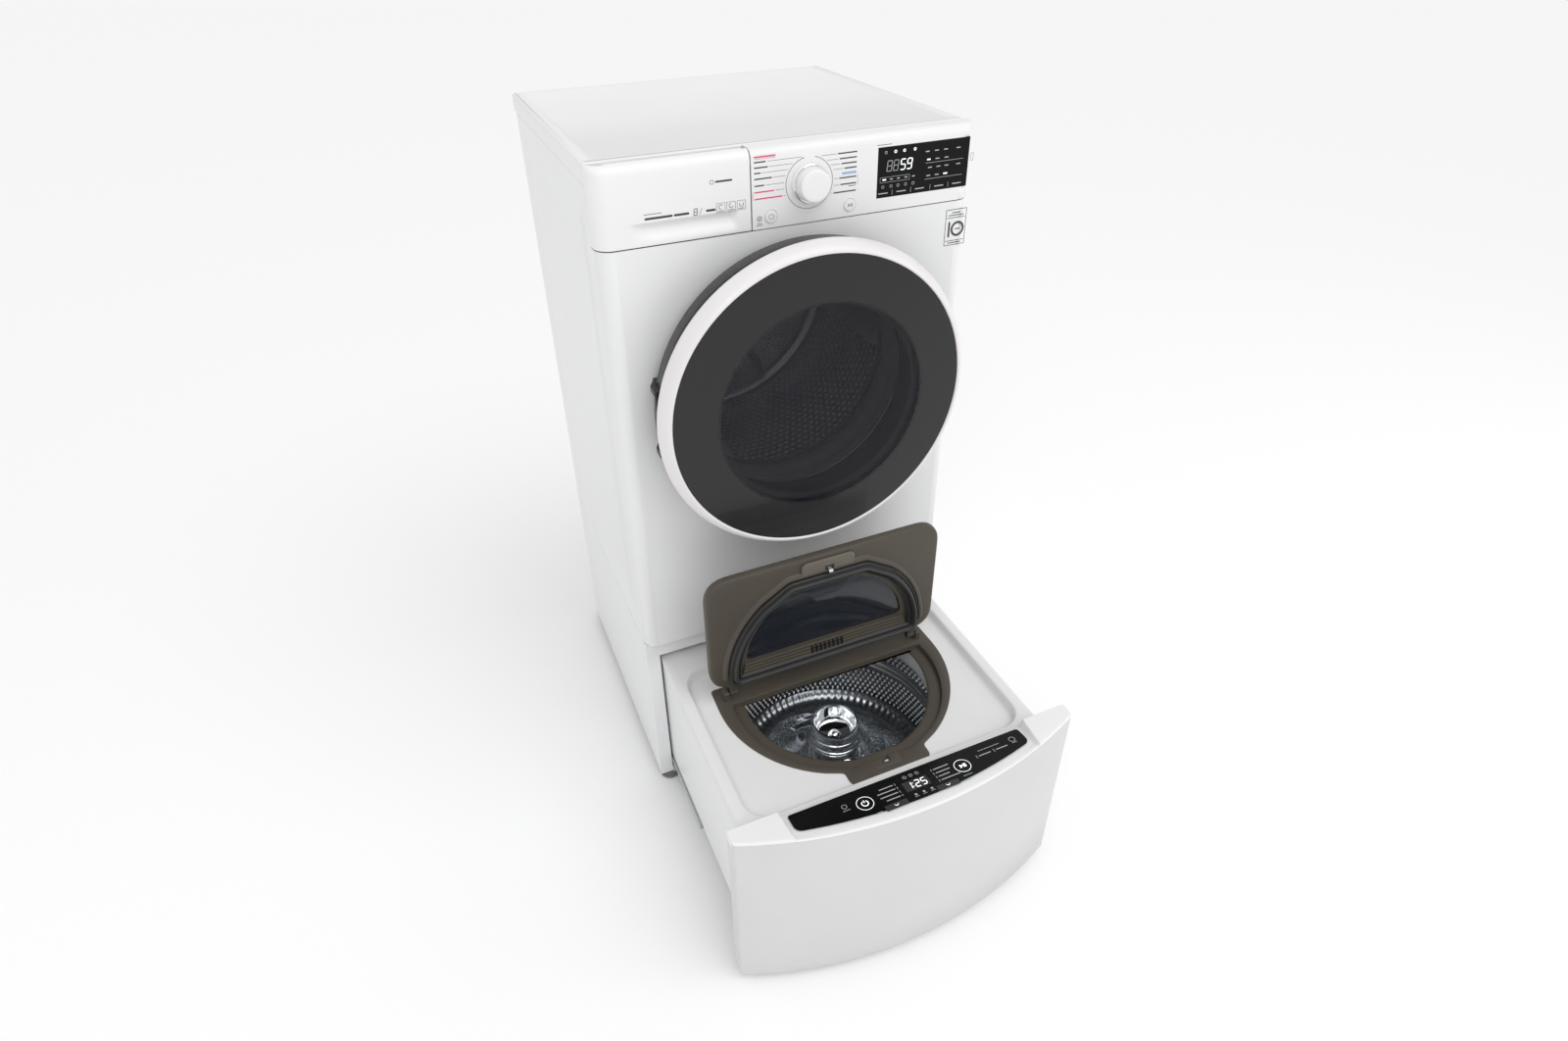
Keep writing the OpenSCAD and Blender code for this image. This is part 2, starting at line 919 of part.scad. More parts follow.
module roller() {
    rotate([0, 90, 0])
        difference() {
            cylinder(r = roller_r, h = 13, center = true);
            cylinder(r = axle_r + running_gap, h = 15, center = true);
        }
}

module left_roller() {
    color([0.07, 0.07, 0.07])
        translate([-roller_x, roller_y, roller_z])
            roller();
}

module right_roller() {
    color([0.07, 0.07, 0.07])
        translate([roller_x, roller_y, roller_z])
            roller();
}

// ---- Slides: the outer rail stays, the middle one moves half as far as the drawer ----

module outer_rails() {
    color("darkgray")
        both_sides()
            difference() {
                block([bay_x + 0.4, frame_y + 8, rail_z[0] - 1], [half_w - sheet, back_y - 12, rail_z[1] + 1]);
                block([bay_x - 1, frame_y + 7, rail_z[0] + 3], [bay_x + 6, back_y - 11, rail_z[1] - 3]);
            }
}

module middle_rails() {
    y0 = frame_y + 6 - drawer_out / 2;
    color("gray")
        both_sides()
            block([267.5, y0, rail_z[0] + 2], [275.2, y0 + 490, rail_z[1] - 2]);
}

module inner_rails() {
    color("darkgray")
        both_sides()
            difference() {
                block([254, drawer_y + 2, rail_z[0]], [266.8, drawer_end_y - 4, rail_z[1] + 2]);
                block([262, drawer_y + 1, rail_z[0] + 4], [268, drawer_end_y, rail_z[1] - 4]);
            }
}

// ---- Drawer ----

module drawer_box() {
    half = drawer_w / 2;
    wall_x = half - 2 - joint;
    color("whitesmoke") {
        both_sides()
            block([half - 2, drawer_y, rail_z[1] + 2], [half, drawer_end_y, dish_z - 4]);
        block([-wall_x, drawer_end_y - 2, rail_z[1] + 5 + joint], [wall_x, drawer_end_y, dish_z - 4]);
    }
    color("silver") {
        // floor pan with raised flanks that sit on the inner rails
        block([-252, drawer_y, 26], [252, drawer_end_y, 29]);
        both_sides() {
            block([252, drawer_y, 26], [254, drawer_end_y, rail_z[1] + 2]);
            block([252, drawer_y, rail_z[1] + 2], [wall_x, drawer_end_y, rail_z[1] + 5]);
        }
    }
}

dish_x = 251;
dish_y = [drawer_y + 28, drawer_y + 366];

// Plan of the collar, inset by d: a circle cut straight at the rear, with a nose in front
module collar_plan(d) {
    r = collar_r - d;
    corner = [213.5 - d, collar_rear_y - d - collar_y];
    turn = atan2(corner[1], corner[0]) - acos(r / norm(corner));
    touch = [r * cos(turn), r * sin(turn)];
    translate([0, collar_y]) {
        cut_disc(r, -r, corner[1]);
        // shoulders that run from the circle to the rear corners
        polygon([[-corner[0], corner[1]], corner, touch, [-touch[0], touch[1]]]);
    }
    polygon([
        [-62 + d, nose_y + d], [62 - d, nose_y + d], [80 - d, nose_y + 24], [80 - d, nose_y + 60],
        [-80 + d, nose_y + 60], [-80 + d, nose_y + 24]
    ]);
}

module drawer_tray() {
    half = drawer_w / 2;
    mid = (dish_y[0] + dish_y[1]) / 2;
    color("white")
        difference() {
            union() {
                block([-half, drawer_y, dish_z - 3], [half, drawer_end_y, rim_z]);
                block([-half + 2.2, drawer_y, dish_z - 4], [half - 2.2, drawer_end_y - 2.2, dish_z - 3]);
            }
            // the dish
            translate([0, mid, dish_z])
                linear_extrude(dish_d + 1)
                    round_rect(2 * dish_x, dish_y[1] - dish_y[0], 46);
            // the opening under the collar
            translate([0, 0, dish_z - 10])
                linear_extrude(20)
                    collar_plan(8);
            // hollow underside of the rear shelf
            block([-half + 8, dish_y[1] + 12, dish_z - 5], [half - 8, drawer_end_y - 8, rim_z - 3]);
        }
}

// Plan of the bowed drawer front, inset by d
module bow_plan(d) {
    intersection() {
        translate([0, bow_y])
            circle(bow_r - d, $fn = 360);
        translate([-half_w + d, drawer_y - 200])
            square([stack_w - 2 * d, 200 - (d > 0 ? 2 : 0)]);
    }
}

module drawer_front() {
    color("lightgray")
        difference() {
            translate([0, 0, front_z[0]])
                linear_extrude(front_z[1] - front_z[0])
                    bow_plan(0);
            translate([0, 0, front_z[0] + 3])
                linear_extrude(front_z[1])
                    bow_plan(3);
            // seat of the top trim
            block([-half_w - 1, drawer_y - 6, 346], [half_w + 1, drawer_y + 1, pedestal_h]);
        }
}

// Wedge under the sloping face of the control strip, raised by up
module strip_wedge(up, half) {
    along_x(-half, half)
        polygon([
            [drawer_y + 1, 350 + up], [drawer_y - 78, pedestal_h - 0.6 + up],
            [drawer_y - 78, pedestal_h + 20], [drawer_y + 1, pedestal_h + 20]
        ]);
}

module drawer_top_trim() {
    color("white")
        difference() {
            union() {
                translate([0, 0, front_z[1] + 0.3])
                    linear_extrude(pedestal_h - front_z[1] - 0.3)
                        bow_plan(0);
                translate([0, 0, 344])
                    linear_extrude(front_z[1] + 0.4 - 344)
                        bow_plan(3.2);
                block([-half_w + 3.2, drawer_y - 5.8, 346.2], [half_w - 3.2, drawer_y, front_z[1] + 0.4]);
            }
            strip_wedge(0, strip_half_w + 4);
        }
}

module control_strip() {
    color([0.05, 0.05, 0.05])
        intersection() {
            difference() {
                strip_wedge(0.1, strip_half_w);
                strip_wedge(2.1, strip_half_w + 1);
            }
            translate([0, 0, 340])
                linear_extrude(30)
                    intersection() {
                        translate([0, bow_y])
                            circle(bow_r - 20, $fn = 360);
                        translate([0, drawer_y - 54])
                            round_rect(2 * strip_half_w - 2, 96, 9);
                    }
        }
}

// ---- Drawer washer ----

module lid_collar() {
    color([0.34, 0.32, 0.29])
        difference() {
            union() {
                translate([0, 0, dish_z])
                    linear_extrude(collar_top - dish_z)
                        collar_plan(0);
                translate([0, 0, collar_low])
                    linear_extrude(collar_top - collar_low)
                        collar_plan(9.2);
                // ears that carry the lid's hinge pins
                both_sides()
                    block([188, lid_pivot_y - 8, dish_z], [198, lid_pivot_y + 10, lid_pivot_z + 7]);
            }
            // ledge for the lid's gasket
            translate([0, gasket_y, ledge_z])
                linear_extrude(20)
                    rotate(180)
                        cut_disc(190.5, -27, 181);
            // mouth
            translate([0, mouth_y, collar_low - 1])
                linear_extrude(40)
                    rotate(180)
                        cut_disc(mouth_r, mouth_y - mouth_back, mouth_y - mouth_front);
            // finger pocket and latch slot in the nose
            block([-56, nose_y + 5, nose_z], [56, nose_y + 38, collar_top + 1]);
            block([-9, nose_y + 14, collar_low - 1], [9, nose_y + 37, collar_top + 1]);
            // holes for the hinge pins
            translate([-220, lid_pivot_y, lid_pivot_z])
                rotate([0, 90, 0])
                    cylinder(r = lid_pin_r + running_gap, h = 440);
        }
}

module mini_tub() {
    r = mini_tub_r;
    color("gainsboro")
        turned_z([
            [26, 50], [r, 50], [r, dish_z - 12], [mouth_r + 18, dish_z - 12], [mouth_r + 18, dish_z - 15],
            [r - 4, dish_z - 15], [r - 4, 54], [32, 54], [32, 62], [14.05, 62], [14.05, 46], [26, 46]
        ]);
}

module mini_drum() {
    r = mini_drum_r;
    t = drum_t;
    color("silver")
        turned_z([
            [8.05, 33.5], [14, 33.5], [14, mini_floor], [r - 12, mini_floor], [r, mini_floor + 12],
            [r, 264], [r - t, 264], [r - t, mini_floor + 12.5], [r - 12.5, mini_floor + t],
            [8.05, mini_floor + t]
        ]);
}

module balance_ring() {
    r = mini_drum_r;
    color("gainsboro")
        turned_z([
            [mouth_r + 7, 258], [mouth_r + 10, 246], [r - drum_t, 246], [r - drum_t, 264], [r, 264],
            [r, dish_z - 22], [mouth_r + 12, dish_z - 22], [mouth_r + 7, dish_z - 28]
        ]);
}

module pulsator() {
    foot = mini_floor + 4;
    color([0.75, 0.78, 0.8]) {
        difference() {
            turned_z([
                // hub and hollow underside
                [0, 34], [8, 34], [8, foot], [18, foot], [18, cone_z - 14], [34, cone_z - 14],
                [44, cone_z - 6], [66.5, foot + 69], [101.2, foot + 32.4], [140, foot + 10.5],
                [140, foot],
                // rim, slope and cup
                [150, foot], [156, foot + 4], [150, foot + 10],
                [104, foot + 36], [70, foot + 72], [48, cone_z], [43, cone_z + 4], [43, cup_z],
                [39, cup_z], [39, cone_z], [30, cone_z - 8], [0, cone_z - 8]
            ]);
            // drain holes in the slope
            for (i = [0 : 11])
                translate([0, mini_y, foot - 2])
                    rotate(30 * i)
                        translate([100, 0, 0])
                            cylinder(r = 3, h = 48, $fn = 24);
        }
        // blades
        for (i = [0 : 5])
            translate([0, mini_y, 0])
                rotate(60 * i + 15)
                    rotate([90, 0, 0])
                        linear_extrude(9, center = true)
                            polygon([
                                [42, foot + 4], [146, foot + 4], [144, foot + 18], [108, foot + 42],
                                [72, foot + 80], [53, cone_z - 3], [41, cone_z - 3]
                            ]);
    }
}

module mini_motor_rotor() {
    color("slategray")
        turned_z([[14, 33.5], [100, 33.5], [100, 46], [106, 46], [106, 30.5], [14, 30.5]]);
}

module mini_motor_stator() {
    color("peru")
        difference() {
            turned_z([[26, 46.2], [26, 49.8], [97, 49.8], [97, 36], [48, 36], [48, 46.2]]);
            for (i = [0 : 17])
                translate([0, mini_y, 0])
                    rotate(20 * i)
                        block([62, -3, 35], [99, 3, 46]);
        }
}

// ---- Lid, standing open: its inner face looks forward ----

// Window or gasket outline: a disc cut flat at the foot and at the top
module lid_arch(r, low, high) {
    translate([0, gasket_z])
        cut_disc(r, low - gasket_z, high - gasket_z);
}

module lid_frame() {
    color([0.34, 0.32, 0.29])
        difference() {
            union() {
                along_y(lid_y, lid_y + lid_t)
                    translate([0, lid_low + lid_h / 2])
                        round_rect(lid_w, lid_h, lid_r);
                both_sides() {
                    // knuckles between the collar's ears
                    translate([172, lid_pivot_y, lid_pivot_z])
                        rotate([0, 90, 0])
                            cylinder(r = 6, h = 15.4);
                    block([172, lid_y, lid_pivot_z], [187.4, lid_pivot_y + 6, lid_low + 50]);
                    // lugs for the handle's pin
                    block([51, lid_y - 6.4, handle_z[1] - 12], [55.5, lid_y + 1, handle_z[1] - 4]);
                }
            }
            translate([-60, lid_y - 3.8, handle_z[1] - 8])
                rotate([0, 90, 0])
                    cylinder(r = latch_pin_r + running_gap, h = 120);
            along_y(lid_y - 1, lid_y + lid_t - 3)
                lid_arch(157, 384, 514);
        }
    // hinge pins
    color("silver")
        both_sides()
            translate([187, lid_pivot_y, lid_pivot_z])
                rotate([0, 90, 0])
                    cylinder(r = lid_pin_r, h = 10);
}

module lid_window() {
    color([0.25, 0.28, 0.34, 0.6])
        along_y(lid_y + 5, lid_y + 9)
            lid_arch(157, 384, 514);
}

module lid_gasket() {
    color([0.1, 0.1, 0.1])
        difference() {
            along_y(lid_y - gasket_h, lid_y)
                lid_arch(gasket_r, 341, gasket_flat);
            along_y(lid_y - gasket_h - 1, lid_y + 1)
                lid_arch(167, 356, 521);
        }
}

module lid_handle() {
    color([0.4, 0.38, 0.34])
        along_y(lid_y - handle_t, lid_y - 0.8)
            translate([0, (handle_z[0] + handle_z[1]) / 2])
                round_rect(100, handle_z[1] - handle_z[0], 6);
    color("silver") {
        // latch hook
        block([-4, lid_y - 25, handle_z[0] + 2], [4, lid_y - handle_t + 0.5, handle_z[0] + 10]);
        // pivot pin
        translate([-55, lid_y - 3.8, handle_z[1] - 8])
            rotate([0, 90, 0])
                cylinder(r = latch_pin_r, h = 110);
    }
}

base_frame();
side_panels();
rear_panel();
worktop();
front_panel();
control_panel();
display_window();
dispenser_housing();
detergent_drawer_front();
detergent_tray();
program_dial();
power_button();
start_button();
door_trim_ring();
door_outer_glass();
door_inner_frame();
door_bowl_glass();
door_hinge();
door_hook();
door_gasket();
outer_tub();
drum_bearings();
wash_drum();
drum_lifters();
drum_shaft();
motor_rotor();
motor_stator();
counterweights();
suspension_springs();
shock_dampers();
drain_pump();
drain_filter_cap();
filter_flap();
rear_connections();
drying_duct();
pedestal_panels();
pedestal_base();
pedestal_front_frame();
levelling_feet();
outer_rails();
middle_rails();
inner_rails();
left_roller();
right_roller();
drawer_box();
drawer_tray();
drawer_front();
drawer_top_trim();
control_strip();
lid_collar();
mini_tub();
mini_drum();
balance_ring();
pulsator();
mini_motor_rotor();
mini_motor_stator();
lid_frame();
lid_window();
lid_gasket();
lid_handle();
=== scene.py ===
import json
import math

import bmesh
import bpy
from mathutils import Euler, Matrix, Vector, noise


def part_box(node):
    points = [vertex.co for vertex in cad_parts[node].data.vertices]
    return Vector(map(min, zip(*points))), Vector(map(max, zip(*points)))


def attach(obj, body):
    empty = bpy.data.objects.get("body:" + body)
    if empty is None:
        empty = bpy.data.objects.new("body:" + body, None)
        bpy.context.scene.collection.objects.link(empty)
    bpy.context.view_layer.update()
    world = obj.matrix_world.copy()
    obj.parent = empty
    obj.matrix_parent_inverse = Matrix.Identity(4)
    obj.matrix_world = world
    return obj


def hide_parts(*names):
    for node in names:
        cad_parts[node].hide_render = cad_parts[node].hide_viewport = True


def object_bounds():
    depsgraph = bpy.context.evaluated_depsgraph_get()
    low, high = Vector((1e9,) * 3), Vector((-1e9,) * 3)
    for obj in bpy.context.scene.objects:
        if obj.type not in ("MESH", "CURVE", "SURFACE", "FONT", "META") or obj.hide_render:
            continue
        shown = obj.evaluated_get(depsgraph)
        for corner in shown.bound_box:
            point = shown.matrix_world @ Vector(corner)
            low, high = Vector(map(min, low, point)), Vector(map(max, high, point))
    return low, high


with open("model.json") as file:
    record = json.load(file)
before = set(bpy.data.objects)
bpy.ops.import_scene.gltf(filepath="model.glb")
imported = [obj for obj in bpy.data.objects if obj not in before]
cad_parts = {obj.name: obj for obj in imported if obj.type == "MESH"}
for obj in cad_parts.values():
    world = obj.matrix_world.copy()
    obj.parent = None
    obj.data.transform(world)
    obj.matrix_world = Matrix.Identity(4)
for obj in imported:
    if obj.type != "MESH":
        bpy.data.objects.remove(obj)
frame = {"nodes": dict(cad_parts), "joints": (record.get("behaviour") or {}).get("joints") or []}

CAD_BOX = [list(corner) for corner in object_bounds()]
MM = 0.001
TAU = 2 * math.pi


# ---- Places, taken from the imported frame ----

def joint_pos(name):
    """Where a joint's axis lies."""
    return Vector(next(j["pos_m"] for j in frame["joints"] if j["name"] == name))


def low(node):
    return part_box(node)[0]


def high(node):
    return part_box(node)[1]


FRONT = low("front_panel").y
DOOR_Z = joint_pos("drum_spin").z
MINI = joint_pos("mini_drum_spin")
DRAWER_Y = high("drawer_front").y
LID_Y = high("lid_gasket").y
DISH_Z = low("lid_collar").z + 10 * MM
RIM_Z = high("drawer_tray").z


# ---- Camera, light and floor ----

def add_camera():
    """The photograph's viewpoint: high up, to the left of the front."""
    data = bpy.data.cameras.new("camera")
    data.sensor_width = 36
    data.lens = 20.89
    data.shift_x = 0.005
    data.shift_y = -0.0294
    camera = bpy.data.objects.new("camera", data)
    right = Vector((0.9187, -0.3946, -0.0148)).normalized()
    forward = Vector((0.3229, 0.7724, -0.5469)).normalized()
    up = right.cross(forward).normalized()
    turn = Matrix((right, up, -forward)).transposed().to_4x4()
    camera.matrix_world = Matrix.Translation((-0.5442, -1.2435, 1.5256)) @ turn
    bpy.context.scene.collection.objects.link(camera)
    bpy.context.scene.camera = camera


def add_area(name, place, aim, size, power):
    data = bpy.data.lights.new(name, "AREA")
    data.shape = "DISK"
    data.size = size
    data.energy = power
    light = bpy.data.objects.new(name, data)
    light.location = place
    light.rotation_euler = (Vector(aim) - Vector(place)).to_track_quat("-Z", "Y").to_euler()
    bpy.context.scene.collection.objects.link(light)


def add_studio():
    world = bpy.data.worlds.new("studio")
    world.use_nodes = True
    background = world.node_tree.nodes["Background"]
    background.inputs["Color"].default_value = (1, 1, 1, 1)
    background.inputs["Strength"].default_value = 0.72
    bpy.context.scene.world = world
    sky = bpy.data.lights.new("sky", "SUN")
    sky.energy = 0.85
    sky.angle = math.radians(50)
    light = bpy.data.objects.new("sky", sky)
    light.rotation_euler = Vector((-0.45, 0.75, -1.5)).to_track_quat("-Z", "Y").to_euler()
    bpy.context.scene.collection.objects.link(light)
    middle = (0, 0, 0.6)
    add_area("key", (-1.4, -2.4, 3.0), middle, 1.4, 12)
    add_area("fill", (2.8, -1.6, 1.9), middle, 1.6, 8)
    bpy.ops.mesh.primitive_plane_add(size=60, location=(0, 0, CAD_BOX[0][2] - 0.0002))
    floor = bpy.context.object
    floor.name = "floor"
    paint = bpy.data.materials.new("floor")
    paint.use_nodes = True
    shader = paint.node_tree.nodes["Principled BSDF"]
    shader.inputs["Base Color"].default_value = (0.97, 0.97, 0.97, 1)
    shader.inputs["Roughness"].default_value = 0.9
    shader.inputs["Specular IOR Level"].default_value = 0.2
    floor.data.materials.append(paint)
    view = bpy.context.scene.view_settings
    view.view_transform = "Standard"
    view.look = "None"
    view.exposure = 0.0


# ---- Materials: node-based, in metres of object space ----

def new_material(name):
    material = bpy.data.materials.new(name)
    material.use_nodes = True
    nodes = material.node_tree.nodes
    return material, nodes, material.node_tree.links, nodes["Principled BSDF"]


def surface(name, colour, rough, *, metallic=0.0, coat=0.0, mottle=0.03, patches=9.0, grain=700.0,
            bump=0.02, scuff=0.05, stretch=(1, 1, 1), alpha=1.0, ior=1.5, specular=0.5, sheen=0.0):
    """Finish with uneven colour, uneven roughness and a fine relief.

    mottle is how far the colour drifts, patches and grain are scales per metre, bump is the relief in
    millimetres, scuff is how far the roughness drifts, and stretch pulls the grain along an axis.
    """
    material, nodes, links, shader = new_material(name)
    shader.inputs["Metallic"].default_value = metallic
    shader.inputs["Coat Weight"].default_value = coat
    shader.inputs["Coat Roughness"].default_value = 0.12
    shader.inputs["Alpha"].default_value = alpha
    shader.inputs["IOR"].default_value = ior
    shader.inputs["Specular IOR Level"].default_value = specular
    shader.inputs["Sheen Weight"].default_value = sheen
    spot = nodes.new("ShaderNodeTexCoord")
    drift = nodes.new("ShaderNodeTexNoise")
    drift.inputs["Scale"].default_value = patches
    drift.inputs["Detail"].default_value = 4
    links.new(spot.outputs["Object"], drift.inputs["Vector"])
    ramp = nodes.new("ShaderNodeValToRGB")
    ramp.color_ramp.elements[0].position = 0.3
    ramp.color_ramp.elements[1].position = 0.7
    ramp.color_ramp.elements[0].color = [c * (1 - mottle) for c in colour] + [1]
    ramp.color_ramp.elements[1].color = [min(1, c * (1 + mottle)) for c in colour] + [1]
    links.new(drift.outputs["Fac"], ramp.inputs["Fac"])
    links.new(ramp.outputs["Color"], shader.inputs["Base Color"])
    scale = nodes.new("ShaderNodeMapping")
    scale.inputs["Scale"].default_value = stretch
    links.new(spot.outputs["Object"], scale.inputs["Vector"])
    fine = nodes.new("ShaderNodeTexNoise")
    fine.inputs["Scale"].default_value = grain
    fine.inputs["Detail"].default_value = 3
    links.new(scale.outputs["Vector"], fine.inputs["Vector"])
    spread = nodes.new("ShaderNodeMapRange")
    spread.inputs["To Min"].default_value = max(0.02, rough - scuff)
    spread.inputs["To Max"].default_value = min(1, rough + scuff)
    links.new(fine.outputs["Fac"], spread.inputs["Value"])
    links.new(spread.outputs["Result"], shader.inputs["Roughness"])
    relief = nodes.new("ShaderNodeBump")
    relief.inputs["Strength"].default_value = 0.5
    relief.inputs["Distance"].default_value = bump * MM
    links.new(fine.outputs["Fac"], relief.inputs["Height"])
    links.new(relief.outputs["Normal"], shader.inputs["Normal"])
    return material


def glow(name, colour, strength):
    """Lit segments behind glass, and printed white marks given a faint painted glow."""
    material = surface(name, colour, 0.4, mottle=0.05, bump=0.005)
    shader = material.node_tree.nodes["Principled BSDF"]
    shader.inputs["Emission Color"].default_value = (*colour, 1)
    shader.inputs["Emission Strength"].default_value = strength
    return material


def door_glass():
    """Black print round the rim of the pane, smoked and see-through in the middle."""
    material = surface("door_glass", (0.020, 0.020, 0.021), 0.2, coat=0.2, scuff=0.03, bump=0.004, patches=4, specular=0.22)
    nodes, links = material.node_tree.nodes, material.node_tree.links
    shader = nodes["Principled BSDF"]
    shader.inputs["Coat Roughness"].default_value = 0.03
    spot = nodes.new("ShaderNodeTexCoord")
    away = nodes.new("ShaderNodeVectorMath")
    away.operation = "DISTANCE"
    flat = nodes.new("ShaderNodeVectorMath")
    flat.operation = "MULTIPLY"
    flat.inputs[1].default_value = (1, 0, 1)
    links.new(spot.outputs["Object"], flat.inputs[0])
    links.new(flat.outputs["Vector"], away.inputs[0])
    away.inputs[1].default_value = (0, 0, DOOR_Z)
    edge = nodes.new("ShaderNodeMapRange")
    edge.inputs["From Min"].default_value = 0.167
    edge.inputs["From Max"].default_value = 0.174
    edge.inputs["To Min"].default_value = 0.36
    edge.inputs["To Max"].default_value = 1
    links.new(away.outputs["Value"], edge.inputs["Value"])
    links.new(edge.outputs["Result"], shader.inputs["Alpha"])
    tint = nodes.new("ShaderNodeMixRGB")
    tint.inputs["Color1"].default_value = (0.014, 0.013, 0.022, 1)
    old = shader.inputs["Base Color"].links[0].from_socket
    links.new(edge.outputs["Result"], tint.inputs["Fac"])
    links.new(old, tint.inputs["Color2"])
    links.new(tint.outputs["Color"], shader.inputs["Base Color"])
    return material


WHITE_ENAMEL = surface("white_enamel", (0.83, 0.835, 0.84), 0.34, coat=0.15, mottle=0.012, grain=420, bump=0.03)
WHITE_PLASTIC = surface("white_plastic", (0.86, 0.86, 0.865), 0.36, mottle=0.01, grain=900, bump=0.012)
RING_WHITE = surface("ring_white", (0.80, 0.775, 0.785), 0.30, coat=0.2, mottle=0.02, grain=900, bump=0.008)
FRONT_GREY = surface("front_grey", (0.66, 0.66, 0.665), 0.34, coat=0.1, mottle=0.015, grain=420, bump=0.02)
TRAY_WHITE = surface("tray_white", (0.80, 0.80, 0.80), 0.42, mottle=0.015, grain=900, bump=0.02)
TAUPE = surface("taupe", (0.078, 0.068, 0.053), 0.46, mottle=0.06, grain=1500, bump=0.05, scuff=0.08, specular=0.35)
TAUPE_LIGHT = surface("taupe_light", (0.140, 0.124, 0.102), 0.42, mottle=0.06, grain=1500, bump=0.04, specular=0.35)
BLACK_RUBBER = surface("black_rubber", (0.022, 0.022, 0.023), 0.48, mottle=0.1, grain=800, bump=0.02, sheen=0.1)
GREY_RUBBER = surface("grey_rubber", (0.16, 0.16, 0.165), 0.6, mottle=0.06, grain=500, bump=0.04, sheen=0.1)
BLACK_PLASTIC = surface("black_plastic", (0.012, 0.012, 0.013), 0.28, mottle=0.1, grain=1200, bump=0.02)
BLACK_PANEL = surface("black_panel", (0.006, 0.006, 0.0065), 0.16, mottle=0.1, grain=600, bump=0.003, specular=0.14)
PAD_GREY = surface("pad_grey", (0.045, 0.045, 0.047), 0.3, mottle=0.05, grain=900, bump=0.01, specular=0.2)
STEEL = surface("stainless", (0.62, 0.63, 0.64), 0.24, metallic=1, mottle=0.05, grain=260, bump=0.02,
                stretch=(1, 1, 14), scuff=0.08)
CHROME = surface("chrome", (0.78, 0.80, 0.82), 0.07, metallic=1, mottle=0.04, grain=200, bump=0.004, scuff=0.03)
# a darker copy of the stainless for the drilled drum walls and the small drum's foot: painted shade
SHADED_DRUM_STEEL = surface("drum_steel_painted_shade", (0.36, 0.38, 0.40), 0.2, metallic=1, mottle=0.06, grain=260, bump=0.01,
                     stretch=(1, 1, 10), scuff=0.06)
# a brighter copy of the stainless on the hole rims: painted highlight
RIM_HIGHLIGHT_STEEL = surface("rim_painted_highlight", (0.86, 0.88, 0.90), 0.14, metallic=1, mottle=0.05, grain=400, bump=0.004, scuff=0.05)
ZINC = surface("zinc", (0.56, 0.57, 0.58), 0.42, metallic=1, mottle=0.06, patches=90, grain=300, bump=0.02,
               scuff=0.12)
DARK_STEEL = surface("dark_steel", (0.075, 0.08, 0.085), 0.4, metallic=0.6, mottle=0.12, grain=500, bump=0.03)
TUB_GREY = surface("tub_grey", (0.58, 0.59, 0.60), 0.55, mottle=0.04, grain=500, bump=0.06)
TRAY_BLUE = surface("tray_blue", (0.50, 0.58, 0.70), 0.38, mottle=0.03, grain=900, bump=0.02)
FOOT_GREY = surface("foot_grey", (0.17, 0.17, 0.175), 0.6, mottle=0.08, grain=600, bump=0.05)
COPPER = surface("copper", (0.62, 0.27, 0.12), 0.35, metallic=1, mottle=0.12, patches=40, grain=900, bump=0.05,
                 stretch=(1, 6, 1))
BALLAST = surface("ballast", (0.26, 0.26, 0.25), 0.85, mottle=0.2, patches=45, grain=260, bump=0.6)
SMOKED = surface("smoked", (0.018, 0.022, 0.030), 0.06, coat=0.6, mottle=0.1, grain=200, bump=0.002, alpha=0.86)
CLEAR = surface("clear_glass", (0.05, 0.055, 0.07), 0.05, mottle=0.05, grain=200, bump=0.002, alpha=0.16)
DOOR_GLASS = door_glass()
INK = surface("ink", (0.05, 0.05, 0.055), 0.5, mottle=0.1, grain=900, bump=0.005)
INK_GREY = surface("ink_grey", (0.30, 0.30, 0.31), 0.5, mottle=0.08, grain=900, bump=0.005)
INK_PINK = surface("ink_pink", (0.72, 0.06, 0.16), 0.5, mottle=0.05, grain=900, bump=0.005)
INK_BLUE = surface("ink_blue", (0.16, 0.34, 0.66), 0.5, mottle=0.05, grain=900, bump=0.005)
LIT = glow("lit_segments", (0.9, 0.93, 0.95), 0.9)
# printed marks with a faint painted glow, brighter than the lamps light them
GLOWING_PRINT = glow("panel_print_painted_glow", (0.42, 0.43, 0.44), 0.12)

